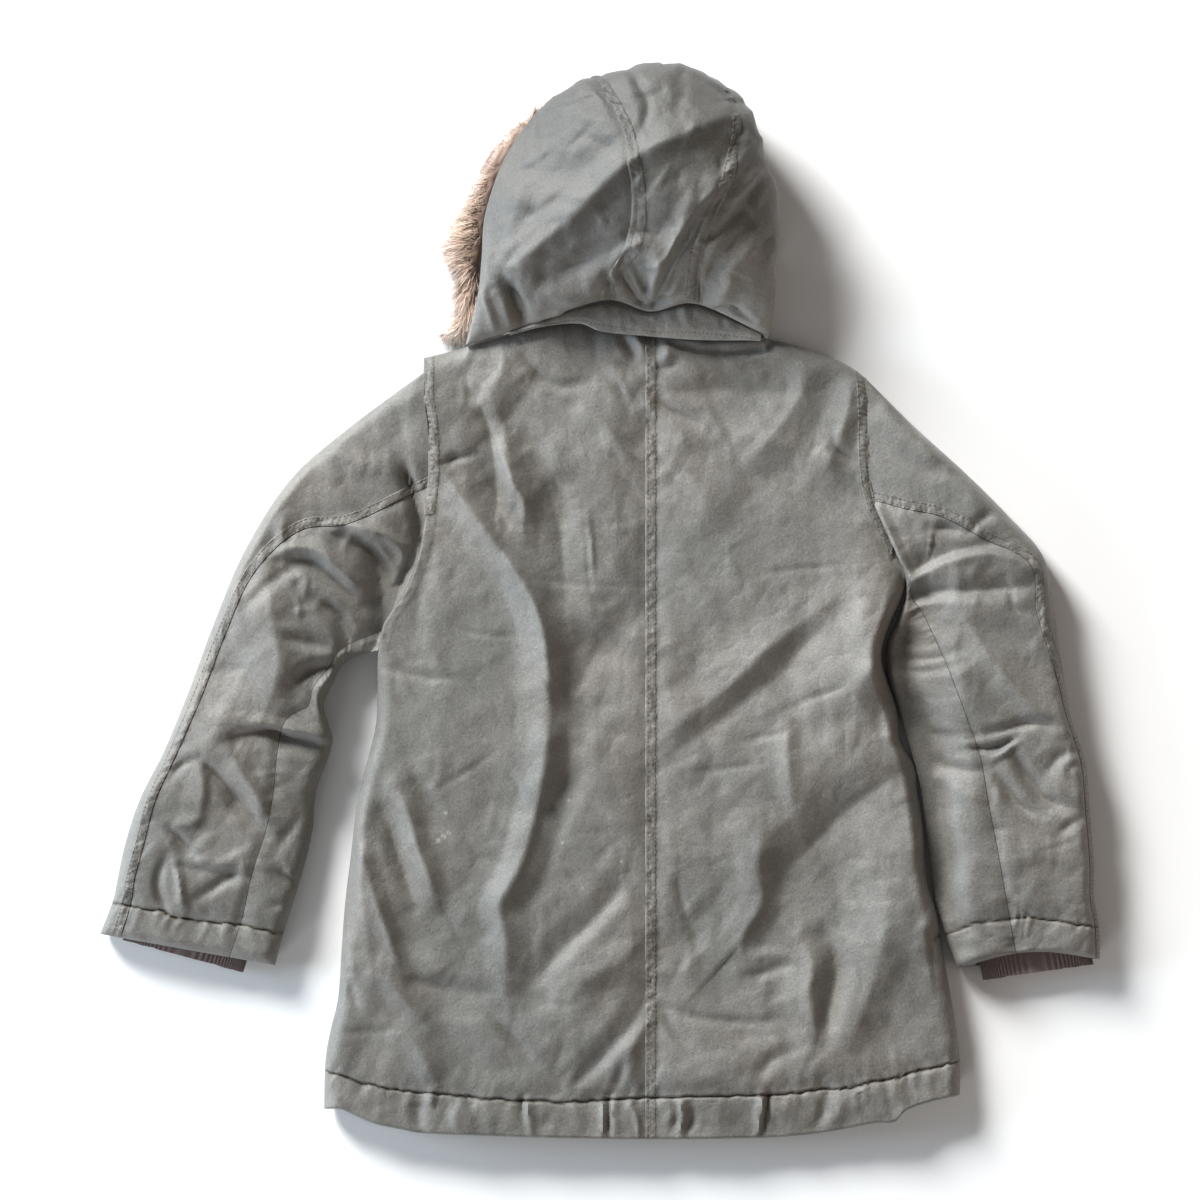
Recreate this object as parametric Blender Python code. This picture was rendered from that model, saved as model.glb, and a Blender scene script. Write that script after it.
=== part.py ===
"""Child's padded parka with a fur trimmed hood, laid out flat with its back up.

Sizes below are millimetres; make() turns them into metres.  The coat lies on z = 0 with
its hood towards +Y.  Left and right are the wearer's, so left is -X.  Each cut piece is a
closed wall of its own, a seam gap away from the next.
"""
import math

import bmesh
import bpy
from mathutils import Vector

MM = 0.001

# ---------------------------------------------------------------- driving sizes
SEAM_GAP = 0.4            # clear gap between two sewn pieces
ARMHOLE_GAP = 1.4         # the same where a curved armhole meets its sleeve
LAYER_GAP = 0.5           # clear gap between two pieces that lie on each other
FRONT_WALL = 9.0          # padded front: shell, wadding and lining
BACK_TOP = 25.0           # top of the padded back over the floor
BACK_FLOOR = FRONT_WALL + LAYER_GAP
SIDE_ROLL = 30.0          # width over which the back rounds down to the side seam
SHOULDER_ROLL = 22.0
HEM_ROLL = 9.0
UNDER_INSET = 6.0         # the underside draws in from the outline
SEAM_DIP = 3.5            # depth of a stitched seam's valley
SEAM_DIP_WIDTH = 9.0
HEM_TURN = 29.0           # depth of the stitched hem
HEM_DIP = 4.5
CENTRE_X = 37.0           # centre-back seam and centre-front zip
ZIP_WIDTH = 12.0
ZIP_HEIGHT = 7.0

SLEEVE_SLAB = 10.0        # thickness of a sleeve's under layer
SLEEVE_EDGE = 13.0        # height of a sleeve's widest line over the floor
SLEEVE_FOOT = 9.0         # the sleeve's underside draws in by this much
SLEEVE_ROLL = 30.0
SLEEVE_WRAP = 14.0        # wadding's thickness where a sleeve folds over its edge
CUFF_TURN = 27.0          # depth of the stitched cuff hem
CUFF_DIP = 4.0
RIB_WALL = 3.2
RIB_INSIDE = 22.0         # length of rib knit inside the sleeve

HOOD_WALL = 6.0
HOOD_SEAM_GAP = 0.6
BAND_WALL = 5.0
FUR_EDGE = 3.0            # least height of the fur strip

CELL = 17.0               # target size of one grid cell

# ---------------------------------------------------------------- outline, back and fronts
# (y, x) of the outline from hem to shoulder; above the underarm it is the armhole seam
SIDE_LEFT = (
    (-405, -221), (-367, -220), (-343, -216), (-319, -210), (-279, -207), (-239, -204),
    (-207, -200), (-159, -194), (-119, -184), (-95, -179), (-47, -178), (-31, -176),
    (-16, -172), (1, -160), (21, -150), (41, -144), (73, -139), (105, -136),
    (137, -137), (161, -140), (195, -140),
)
SIDE_RIGHT = (
    (-395, 288), (-367, 288), (-335, 284), (-283, 275), (-251, 270), (-223, 262),
    (-175, 258), (-151, 254), (-133, 252), (-113, 241), (-87, 238), (-67, 232),
    (-47, 226), (-30, 228), (-3, 239), (19, 244), (35, 238), (57, 228),
    (81, 218), (113, 214), (145, 214), (179, 212),
)
# (x, y) of the hem's edge and of the shoulders and neck
HEM = (
    (-221, -405), (-200, -411), (-172, -420), (-144, -425), (-96, -427), (-32, -429),
    (38, -429), (128, -429), (160, -427), (192, -423), (216, -416), (242, -409),
    (264, -403), (288, -395),
)
NECK = (
    (-140, 195), (-112, 202), (-80, 212), (-48, 221), (-16, 224), (0, 218), (38, 214),
    (78, 211), (132, 210), (152, 206), (192, 192), (206, 184), (212, 179),
)
UNDERARM_LEFT = -47.0     # y where side seam and armhole meet
UNDERARM_RIGHT = 5.0
HOOD_SPAN = (-108.0, 134.0)   # stretch of the neck that the hood covers

# The largest folds: ridges stand up, troughs are negative.  Each runs on a bent line.
#   from x, y     by x, y      to x, y     half width, height
FOLDS = (
    (-104, 65, -44, 0, -42, -120, 20, 5.0),
    (-42, -120, -42, -200, -88, -280, 17, 5.0),
    (-30, -20, -22, -130, -62, -222, 11, -5.0),
    (-180, -143, -150, -165, -134, -235, 15, 4.0),
    (-184, -205, -180, -250, -158, -290, 11, -4.0),
    (-194, -296, -120, -312, -58, -352, 10, -3.5),
    (-160, -319, -140, -340, -122, -372, 14, 3.5),
    (44, -108, 120, -70, 208, 2, 15, 4.5),
    (60, -122, 128, -84, 202, -34, 10, -4.0),
    (252, -137, 190, -176, 126, -226, 12, -4.5),
    (218, -205, 212, -290, 166, -372, 17, 4.5),
    (116, -262, 170, -262, 188, -330, 12, -4.0),
    (126, -396, 150, -366, 170, -322, 10, -3.5),
    (34, -228, -36, -276, -44, -330, 16, 4.0),
    (-6, -392, 10, -350, 32, -316, 12, -3.5),
    (-110, 180, -80, 120, -96, 70, 16, 3.0),
    (150, 170, 176, 110, 160, 40, 18, 3.0),
    (60, 190, 70, 150, 64, 90, 10, -2.5),
    # left sleeve
    (-222, 116, -190, 112, -158, 96, 10, 4.0),
    (-246, 34, -200, 24, -176, 0, 11, -5.5),
    (-206, 52, -184, 40, -166, 24, 12, -4.5),
    (-316, -2, -300, -60, -262, -92, 22, 5.0),
    (-288, -106, -250, -100, -222, -96, 9, -5.0),
    (-322, -135, -290, -160, -268, -190, 10, -4.0),
    (-338, -205, -290, -196, -250, -210, 10, 4.0),
    # right sleeve
    (246, 24, 290, 36, 350, 32, 12, 6.0),
    (250, 8, 300, 22, 352, 16, 8, -8.0),
    (228, -50, 240, -78, 280, -102, 12, -5.0),
    (246, -108, 300, -98, 360, -100, 9, -4.5),
    (300, -136, 330, -150, 342, -172, 9, -4.5),
    (340, -140, 366, -160, 386, -168, 9, 4.0),
)

# ---------------------------------------------------------------- sleeves
# A row for each section from armhole to cuff: the outer and inner points of its outline,
# the shares of the width at which the upper and the underarm seams run, and its height.
#   outer x, y,  inner x, y,  upper, under, height
SLEEVE_LEFT = (
    (-140, 183, -177, -39, 0.41, 0.93, 25),
    (-200, 135, -204, -49, 0.40, 0.93, 31),
    (-244, 94, -214, -66, 0.25, 0.92, 34),
    (-280, 39, -221, -83, 0.14, 0.88, 35),
    (-304, -17, -217, -99, 0.11, 0.82, 36),
    (-324, -71, -214, -110, 0.10, 0.67, 36),
    (-344, -119, -217, -124, 0.09, 0.69, 34),
    (-364, -159, -227, -152, 0.10, 0.76, 35),
    (-376, -195, -230, -183, 0.11, 0.75, 34),
    (-382, -222, -238, -217, 0.10, 0.73, 33),
    (-387, -240, -251, -258, 0.11, 0.75, 30),
    (-398, -265, -260, -291, 0.12, 0.74, 27),
)
SLEEVE_RIGHT = (
    (212, 178, 244, 18, 0.61, 0.93, 25),
    (250, 139, 245, 12, 0.52, 0.93, 31),
    (290, 101, 244, 2, 0.36, 0.92, 34),
    (324, 65, 240, -8, 0.24, 0.88, 36),
    (352, 33, 236, -18, 0.10, 0.82, 37),
    (360, -7, 229, -36, 0.11, 0.72, 35),
    (367, -55, 230, -58, 0.10, 0.65, 36),
    (373, -91, 239, -88, 0.09, 0.62, 36),
    (385, -128, 249, -120, 0.09, 0.61, 34),
    (389, -170, 257, -152, 0.09, 0.61, 36),
    (392, -212, 262, -196, 0.09, 0.58, 35),
    (392, -236, 268, -236, 0.09, 0.56, 33),
    (396, -259, 276, -266, 0.09, 0.57, 30),
    (397, -286, 286, -293, 0.09, 0.59, 27),
)
RIB_LEFT = (0.13, 0.84, 9.0)      # shares of the cuff's width, and reach past its edge
RIB_RIGHT = (0.15, 0.83, 13.0)

# ---------------------------------------------------------------- hood
# A row for each section from nape to forehead; the points run from the rim by the left
# cheek over the two seams to the rim by the right cheek.
#   left rim        left side       left seam      crown          right seam     right side
#   right rim
HOOD = (
    ((-107, 207, 26), (-62, 220, 28), (2, 239, 33), (40, 230, 33), (77, 236, 34),
     (131, 212, 30), (127, 212, 14)),
    ((-98, 243, 40), (-50, 251, 56), (5, 256, 60), (40, 251, 58), (78, 255, 62),
     (137, 243, 45), (126, 243, 14)),
    ((-95, 272, 45), (-42, 285, 68), (22, 283, 80), (55, 284, 82), (84, 285, 84),
     (140, 275, 55), (128, 273, 14)),
    ((-92, 309, 46), (-32, 325, 76), (27, 325, 92), (64, 327, 96), (101, 328, 90),
     (143, 325, 55), (130, 322, 14)),
    ((-77, 353, 43), (-28, 364, 74), (20, 370, 90), (65, 374, 92), (113, 370, 84),
     (134, 362, 55), (122, 358, 14)),
    ((-56, 385, 36), (-26, 398, 60), (3, 408, 72), (54, 414, 76), (108, 405, 62),
     (121, 394, 45), (110, 388, 14)),
    ((-46, 394, 26), (-22, 408, 38), (-6, 419, 46), (49, 430, 50), (101, 415, 44),
     (113, 403, 34), (105, 395, 14)),
    ((-42, 390, 14), (-20, 401, 14), (-4, 410, 14), (48, 420, 14), (96, 406, 14),
     (106, 397, 14), (100, 391, 14)),
)
#   first and last point of a section, number of grid cells between them
HOOD_PANELS = {"hood_left": (0, 2, 8), "hood_centre": (2, 4, 6), "hood_right": (4, 6, 7)}
BAND_SPAN = (-50.0, 120.0)
BAND_TOP = 27.0
# (x, y) of the middle of the fur strip, half its width and its height
FUR = (
    (-123, 211, 7, 14), (-109, 219, 10, 21), (-102, 243, 12, 33), (-106, 262, 20, 37),
    (-106, 276, 23, 39), (-101, 292, 20, 39), (-98, 309, 19, 39), (-91, 331, 18, 38),
    (-79, 354, 16, 35), (-62, 373, 14, 27), (-42, 386, 13, 13.5), (-15, 394, 13, 14),
    (20, 404, 13, 15), (54, 408, 13, 15.5), (84, 398, 13, 14), (101, 381, 13, 14),
    (111, 356, 13, 14), (119, 322, 13, 14), (117, 278, 13, 14), (115, 245, 12, 14),
    (114, 222, 10, 13),
)

# ---------------------------------------------------------------- finishes
SHELL = ("parka_shell", (0.17, 0.165, 0.135), 0.62)
RIB_KNIT = ("rib_knit", (0.16, 0.125, 0.11), 0.95)
FUR_PILE = ("fur_pile", (0.52, 0.36, 0.25), 0.9)
ZIP_TAPE = ("zip_tape", (0.06, 0.06, 0.055), 0.5)


def material(finish):
    name, colour, roughness = finish
    made = bpy.data.materials.get(name)
    if made is None:
        made = bpy.data.materials.new(name)
        made.use_nodes = True
        shader = made.node_tree.nodes["Principled BSDF"]
        shader.inputs["Base Color"].default_value = (*colour, 1.0)
        shader.inputs["Roughness"].default_value = roughness
        shader.inputs["Metallic"].default_value = 0.0
    return made


# ---------------------------------------------------------------- small tools
def mix(a, b, share):
    return a + (b - a) * share


def hermite(before, start, end, after, share, widths):
    """Smooth value between start and end; widths are the three key steps around them."""
    slope_in = (end - before) / (widths[0] + widths[1])
    slope_out = (after - start) / (widths[1] + widths[2])
    a = share * share * (3 - 2 * share)
    b = share * (1 - share) ** 2 * widths[1]
    c = -share * share * (1 - share) * widths[1]
    return start + (end - start) * a + slope_in * b + slope_out * c


def read(table, key):
    """Value at key on the smooth curve through a table of (key, value)."""
    last = len(table) - 1
    n = 1
    while n < last and table[n][0] < key:
        n += 1
    rows = [table[max(0, min(last, k))] for k in (n - 2, n - 1, n, n + 1)]
    widths = [rows[k + 1][0] - rows[k][0] for k in range(3)]
    share = max(0.0, min(1.0, (key - rows[1][0]) / widths[1]))
    return hermite(*(row[1] for row in rows), share, widths)


def section(table, place):
    """Row of a table at place, counted in rows, every column on a smooth curve."""
    last = len(table) - 1
    n = max(0, min(last - 1, int(math.floor(place))))
    rows = [table[max(0, min(last, k))] for k in (n - 1, n, n + 1, n + 2)]
    widths = [1.0 if n > 0 else 0.0, 1.0, 1.0 if n < last - 1 else 0.0]
    return [hermite(*column, place - n, widths) for column in zip(*rows)]


def rounding(distance, roll):
    """0 at an edge to 1 a roll's width away, along a quarter of an ellipse."""
    t = max(0.0, min(1.0, distance / roll))
    return math.sqrt(1.0 - (1.0 - t) ** 2)


def dip(distance, width):
    return math.exp(-(distance / width) ** 2)


def steps(length, cell=CELL):
    """Even shares from 0 to 1, about a cell apart."""
    count = max(1, round(length / cell))
    return [k / count for k in range(count + 1)]


def fold_line(fold, pieces=8):
    x0, y0, x1, y1, x2, y2 = fold[:6]
    line = []
    for k in range(pieces + 1):
        t = k / pieces
        a, b, c = (1 - t) ** 2, 2 * t * (1 - t), t * t
        line.append((a * x0 + b * x1 + c * x2, a * y0 + b * y1 + c * y2))
    return line


FOLD_LINES = [(fold_line(fold), fold[6], fold[7]) for fold in FOLDS]


def folds_at(x, y):
    """Height that the folds add over a point of the plan."""
    total = 0.0
    for line, width, height in FOLD_LINES:
        nearest, reach = 1e9, 0.0
        for k in range(len(line) - 1):
            (ax, ay), (bx, by) = line[k], line[k + 1]
            dx, dy = bx - ax, by - ay
            t = ((x - ax) * dx + (y - ay) * dy) / (dx * dx + dy * dy)
            t = max(0.0, min(1.0, t))
            away = math.hypot(x - ax - t * dx, y - ay - t * dy)
            if away < nearest:
                nearest, reach = away, (k + t) / (len(line) - 1)
        if nearest < 3 * width:
            total += height * math.sin(math.pi * (0.1 + 0.8 * reach)) * dip(nearest, width)
    return total


def make(name, finish, across, along, outer, inner):
    """A closed wall: a grid bent to outer(a, b), and the same grid at inner(a, b)."""
    columns, rows = len(across) - 1, len(along) - 1
    bm = bmesh.new()
    bmesh.ops.create_grid(bm, x_segments=columns, y_segments=rows, size=0.5)
    lifted = bmesh.ops.extrude_face_region(bm, geom=bm.faces[:])["geom"]
    lifted = {item for item in lifted if isinstance(item, bmesh.types.BMVert)}
    for vert in bm.verts:
        a = across[round((vert.co.x + 0.5) * columns)]
        b = along[round((vert.co.y + 0.5) * rows)]
        place = outer(a, b) if vert in lifted else inner(a, b)
        vert.co = Vector(place) * MM
    bmesh.ops.recalc_face_normals(bm, faces=bm.faces)
    if bm.calc_volume(signed=True) < 0:
        bmesh.ops.reverse_faces(bm, faces=bm.faces)
    mesh = bpy.data.meshes.new(name)
    bm.to_mesh(mesh)
    bm.free()
    mesh.shade_smooth()
    mesh.set_sharp_from_angle(angle=math.radians(50))
    mesh.materials.append(material(finish))
    piece = bpy.data.objects.new(name, mesh)
    bpy.context.scene.collection.objects.link(piece)
    return piece


# ---------------------------------------------------------------- fronts, backs and zip
def half_plan(side, a, b, inset=0.0):
    """Plan point of a body half: a from the centre to the side, b from hem to neck."""
    edge = SIDE_LEFT if side < 0 else SIDE_RIGHT
    hem_x, neck_x = edge[0][1], edge[-1][1]
    hem_y = read(HEM, mix(CENTRE_X, hem_x, a)) + inset
    neck_y = read(NECK, mix(CENTRE_X, neck_x, a)) - inset
    side_y = mix(edge[0][0], edge[-1][0], b)
    side_x = read(edge, side_y) - side * inset
    x = mix(CENTRE_X, side_x, a)
    return x, mix(hem_y, neck_y, b)


def back_height(side, x, y):
    """Height of the back's outer face over a point of the plan."""
    edge, underarm = ((SIDE_LEFT, UNDERARM_LEFT), (SIDE_RIGHT, UNDERARM_RIGHT))[side > 0]
    from_side = abs(read(edge, y) - x)
    from_hem = y - read(HEM, x)
    from_neck = read(NECK, x) - y
    top = BACK_TOP + folds_at(x, y)
    top -= SEAM_DIP * dip(x - CENTRE_X, SEAM_DIP_WIDTH)
    top -= HEM_DIP * dip(from_hem - HEM_TURN, 5.0)
    rise = rounding(from_hem + 1.0, HEM_ROLL)
    below = max(0.0, min(1.0, (underarm - y) / 30 + 0.5))
    rise *= mix(mix(0.75, 1.0, rounding(from_side, 14)), rounding(from_side, SIDE_ROLL), below)
    shoulder = 1.0 if x < HOOD_SPAN[0] or x > HOOD_SPAN[1] else 0.35
    rise *= 1 - shoulder * (1 - rounding(from_neck, SHOULDER_ROLL))
    return BACK_FLOOR + 2.5 + (top - BACK_FLOOR - 2.5) * rise


def body_rows():
    """Shares of the length, with closer rows at the hem's edge and along its stitching."""
    length = 640.0
    hem_rows = [0.0, 8.0, HEM_TURN - 7, HEM_TURN, HEM_TURN + 7]
    rest = steps(length - hem_rows[-1])
    return [row / length for row in hem_rows] + [
        mix(hem_rows[-1] / length, 1.0, share) for share in rest[1:]]


def body_columns():
    """Shares from centre to side, with closer columns where the side rounds down."""
    inside = [0.0, 0.035, 0.1]
    return inside + [mix(0.1, 0.88, s) for s in steps(150)[1:]] + [0.94, 0.98, 1.0]


def body_half(word, side):
    gap = side * SEAM_GAP / 2

    def outer(a, b):
        x, y = half_plan(side, a, b)
        return x + gap * (1 - 2 * a), y, back_height(side, x, y)

    def inner(a, b):
        x, y = half_plan(side, a, b)
        return x + gap * (1 - 2 * a), y, BACK_FLOOR

    make("back_" + word, SHELL, body_columns(), body_rows(), outer, inner)

    zip_edge = CENTRE_X + side * (ZIP_WIDTH / 2 + SEAM_GAP)

    def front(a, b, inset, height):
        x, y = half_plan(side, a, b, inset)
        return zip_edge if a == 0.0 else x, y, height

    columns = [0.0, 0.25, 0.5, 0.75, 1.0]
    make("front_" + word, SHELL, columns, steps(640.0, 26.0),
         lambda a, b: front(a, b, 0.0, FRONT_WALL),
         lambda a, b: front(a, b, UNDER_INSET, 0.0))


def zip_piece():
    low, high = read(HEM, CENTRE_X) + 2, read(NECK, CENTRE_X) - 2

    def at(a, b, height):
        return CENTRE_X + (a - 0.5) * ZIP_WIDTH, mix(low, high, b), height

    make("zip", ZIP_TAPE, [0.0, 1.0], [0.0, 1.0],
         lambda a, b: at(a, b, ZIP_HEIGHT), lambda a, b: at(a, b, 0.0))


# ---------------------------------------------------------------- sleeves
class Sleeve:
    """A flattened padded tube; place counts rows of its table, share runs across it."""

    def __init__(self, table, side):
        self.table = table
        self.side = side
        self.rows = len(table) - 1
        self.edge = SIDE_LEFT if side < 0 else SIDE_RIGHT

    def width(self, place):
        row = section(self.table, place)
        return math.hypot(row[2] - row[0], row[3] - row[1])

    def plan(self, place, share):
        """Plan point; the first row follows the armhole, which fades out by row two."""
        row = section(self.table, place)
        x, y = mix(row[0], row[2], share), mix(row[1], row[3], share)
        start = self.table[0]
        hole_y = mix(start[1], start[3], share)
        hole_x = read(self.edge, hole_y) + self.side * ARMHOLE_GAP
        fade = max(0.0, 1 - place / 2) ** 2
        return x + fade * (hole_x - mix(start[0], start[2], share)), y

    def seam(self, place, upper):
        return section(self.table, place)[4 if upper else 5]

    def height(self, place, share):
        row = section(self.table, place)
        width = self.width(place)
        top = row[6] + folds_at(*self.plan(place, share))
        for k in (4, 5):
            top -= SEAM_DIP * dip((share - row[k]) * width, 7.0)
        cuff = (self.rows - place) * CUFF_TURN
        top -= CUFF_DIP * dip(cuff - CUFF_TURN, 5.0)
        flank = min(share, 1 - share) * width
        rise = rounding(flank, SLEEVE_ROLL)
        rise = mix(max(rise, 0.7), rise, min(1.0, place))
        rise *= rounding(cuff + 1.5, 9.0)
        return SLEEVE_EDGE + (top - SLEEVE_EDGE) * rise

    def cuff_room(self, place):
        """0 along the sleeve to 1 at its end, where the rib cuff sits inside."""
        return max(0.0, min(1.0, (place - self.rows + 1.6) / 0.5))

    def roof(self, place):
        """Underside of the upper layer."""
        return SLEEVE_SLAB + LAYER_GAP + 5.0 * self.cuff_room(place)

    def slab(self, place):
        """Top of the under layer."""
        return SLEEVE_SLAB - 4.0 * self.cuff_room(place)

    def point(self, place, inset, height, from_inner=False):
        """A point a number of millimetres in from the outer or the inner outline."""
        share = inset / self.width(place)
        x, y = self.plan(place, 1 - share if from_inner else share)
        return x, y, height

    def stations(self):
        places = []
        for row in range(self.rows):
            here, there = self.plan(row, 0.5), self.plan(row + 1, 0.5)
            count = len(steps(math.hypot(there[0] - here[0], there[1] - here[1]), 17.0)) - 1
            places += [row + k / count for k in range(count)]
        return places + [self.rows - 0.2, float(self.rows)]


def sleeve_pieces(word, table, side):
    sleeve = Sleeve(table, side)
    along = sleeve.stations()
    half_gap = SEAM_GAP / 2

    def seam_share(place, upper, outward):
        return sleeve.seam(place, upper) + outward * half_gap / sleeve.width(place)

    # back piece: over the top from the upper seam to the underarm seam
    def back_share(a, place):
        return mix(seam_share(place, True, 1), seam_share(place, False, -1), a)

    def back_outer(a, place):
        share = back_share(a, place)
        return *sleeve.plan(place, share), sleeve.height(place, share)

    def back_inner(a, place):
        return *sleeve.plan(place, back_share(a, place)), sleeve.roof(place)

    make(f"sleeve_{word}_back", SHELL, steps(95.0, 16.0), along, back_outer, back_inner)

    # front piece: from the upper seam round the outer edge and along the floor
    def front_outer(a, place):
        if a <= 3:
            share = seam_share(place, True, -1) * (1 - a / 3)
            return *sleeve.plan(place, share), sleeve.height(place, share)
        if a == 4:
            return sleeve.point(place, SLEEVE_FOOT, 0.0)
        return sleeve.point(place, SLEEVE_WRAP + SEAM_GAP, 0.0, from_inner=True)

    def front_inner(a, place):
        top = seam_share(place, True, -1) * sleeve.width(place)
        wrap = min(SLEEVE_WRAP, top * 0.7)
        if a <= 2:
            return sleeve.point(place, mix(top, wrap, a / 2), sleeve.roof(place))
        if a == 3:
            return sleeve.point(place, wrap, mix(sleeve.roof(place), sleeve.slab(place), 0.5))
        if a == 4:
            return sleeve.point(place, wrap + 2, sleeve.slab(place))
        return sleeve.point(place, SLEEVE_WRAP + SEAM_GAP, sleeve.slab(place), from_inner=True)

    make(f"sleeve_{word}_front", SHELL, [0, 1, 2, 3, 4, 5], along, front_outer, front_inner)

    # underarm piece: from the underarm seam round the inner edge to the floor
    def under_outer(a, place):
        if a <= 4:
            share = mix(seam_share(place, False, 1), 1.0, a / 4)
            return *sleeve.plan(place, share), sleeve.height(place, share)
        return sleeve.point(place, SLEEVE_FOOT, 0.0, from_inner=True)

    def under_inner(a, place):
        top = (1 - seam_share(place, False, 1)) * sleeve.width(place)
        wrap = min(SLEEVE_WRAP, top * 0.8)
        if a <= 3:
            return sleeve.point(place, mix(top, wrap, a / 3), sleeve.roof(place), True)
        if a == 4:
            return sleeve.point(place, wrap, sleeve.slab(place), True)
        return sleeve.point(place, wrap, 0.0, True)

    make(f"sleeve_{word}_under", SHELL, [0, 1, 2, 3, 4, 5], along, under_outer, under_inner)
    return sleeve


def rib_cuff(word, sleeve, sizes):
    """A flattened knit tube: its wall runs once round, from seam to seam."""
    low, high, reach = sizes
    end = float(sleeve.rows)
    step = 1.2
    floor, roof = sleeve.slab(end) + LAYER_GAP, sleeve.roof(end) - LAYER_GAP
    middle = (floor + roof) / 2
    slit = (roof - floor) / 2 - RIB_WALL
    #   share of the rib's width, height as a share of half its height, step to its inner face
    ring = (
        (0.0, 0.3, RIB_WALL), (0.05, 1.0, RIB_WALL), (0.95, 1.0, -RIB_WALL),
        (1.0, 0.0, -RIB_WALL), (0.95, -1.0, -RIB_WALL), (0.05, -1.0, RIB_WALL),
        (0.0, -0.3, RIB_WALL),
    )
    inside = sleeve.plan(end - step, 0.5)
    outside = sleeve.plan(end, 0.5)
    along_x, along_y = outside[0] - inside[0], outside[1] - inside[1]
    size = math.hypot(along_x, along_y)

    def spot(corner, b, is_inner):
        share, tall, inset = ring[corner]
        across = mix(low, high, share) + (inset / sleeve.width(end) if is_inner else 0.0)
        x, y = sleeve.plan(end, across)
        forward = mix(-RIB_INSIDE, reach, b)
        height = tall * (slit if is_inner else (roof - floor) / 2)
        return x + along_x / size * forward, y + along_y / size * forward, middle + height

    make("cuff_" + word, RIB_KNIT, list(range(len(ring))), [0.0, 0.5, 1.0],
         lambda corner, b: spot(corner, b, False), lambda corner, b: spot(corner, b, True))


# ---------------------------------------------------------------- hood, band and fur
def hood_point(column, row):
    """Outer face of the hood; column and row count the points of its table."""
    net = [section(line, column) for line in HOOD]
    return Vector(section(net, row))


def hood_normal(column, row):
    small = 0.05
    last_column, last_row = len(HOOD[0]) - 1, len(HOOD) - 1
    a = hood_point(max(0, column - small), row)
    b = hood_point(min(last_column, column + small), row)
    c = hood_point(column, max(0, row - small))
    d = hood_point(column, min(last_row, row + small))
    return (b - a).cross(d - c).normalized()


def hood_panel(name):
    first, last, _ = HOOD_PANELS[name]
    across = hood_columns(name)
    along = [k / 3 for k in range(3 * len(HOOD) - 2)]

    def outer(column, row):
        place = hood_point(column, row)
        if column in (first, last) and 0 < column < len(HOOD[0]) - 1:
            side = 0.1 if column == first else -0.1
            place += (hood_point(column + side, row) - place).normalized() * HOOD_SEAM_GAP / 2
        return place

    def inner(column, row):
        return outer(column, row) - hood_normal(column, row) * HOOD_WALL

    make(name, SHELL, across, along, outer, inner)


def hood_columns(panel):
    """Table columns at which a panel's grid is bent."""
    first, last, columns = HOOD_PANELS[panel]
    return [mix(first, last, k / columns) for k in range(columns + 1)]


def hood_band():
    """The strip that joins the hood to the neck, along the edge of the hood's panels."""
    columns = sorted({column for panel in HOOD_PANELS for column in hood_columns(panel)})
    nape = [hood_point(column, 0) for column in columns]
    edge = [point for point in nape if BAND_SPAN[0] <= point.x <= BAND_SPAN[1]]
    for x in BAND_SPAN:
        after = next(k for k, point in enumerate(nape) if point.x > x)
        share = (x - nape[after - 1].x) / (nape[after].x - nape[after - 1].x)
        edge.append(nape[after - 1].lerp(nape[after], share))
    edge.sort(key=lambda point: point.x)

    def outer(k, b):
        upper = edge[k]
        low_y = read(NECK, upper.x) + SEAM_GAP
        return Vector((upper.x, mix(low_y, upper.y - 2 * SEAM_GAP, b),
                       mix(BAND_TOP, upper.z, b)))

    def inner(k, b):
        return outer(k, b) - Vector((0, 0, BAND_WALL))

    make("hood_band", SHELL, list(range(len(edge))), [0.0, 0.5, 1.0], outer, inner)


def fur_trim():
    """The fur strip round the hood's rim, as far as its hairs reach."""
    last = len(FUR) - 1
    across = [-1.0, -0.85, -0.5, 0.0, 0.5, 0.85, 1.0]
    along = [k / 2 for k in range(2 * last + 1)]

    def spot(a, place, height):
        x, y, half, _ = section(FUR, place)
        before, after = section(FUR, max(0, place - 0.1)), section(FUR, min(last, place + 0.1))
        way = Vector((after[0] - before[0], after[1] - before[1])).normalized()
        return x + way.y * half * a, y - way.x * half * a, height

    def outer(a, place):
        height = section(FUR, place)[3]
        return spot(a, place, max(FUR_EDGE, height * (1 - abs(a) ** 3) ** (1 / 3)))

    make("fur_trim", FUR_PILE, across, along, outer, lambda a, place: spot(a, place, 0.0))


def main():
    for old in list(bpy.data.objects):
        bpy.data.objects.remove(old)
    body_half("left", -1)
    body_half("right", 1)
    zip_piece()
    rib_cuff("left", sleeve_pieces("left", SLEEVE_LEFT, -1), RIB_LEFT)
    rib_cuff("right", sleeve_pieces("right", SLEEVE_RIGHT, 1), RIB_RIGHT)
    for name in HOOD_PANELS:
        hood_panel(name)
    hood_band()
    fur_trim()


main()
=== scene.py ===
"""Looks of a child's padded parka, laid flat with its back up: cloth, seams, knit and fur.

Sizes are millimetres in the part's own frame, and wall() turns them into metres.  Left and
right are the wearer's, so left is -X, and the hood lies towards +Y.
"""
import math

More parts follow.
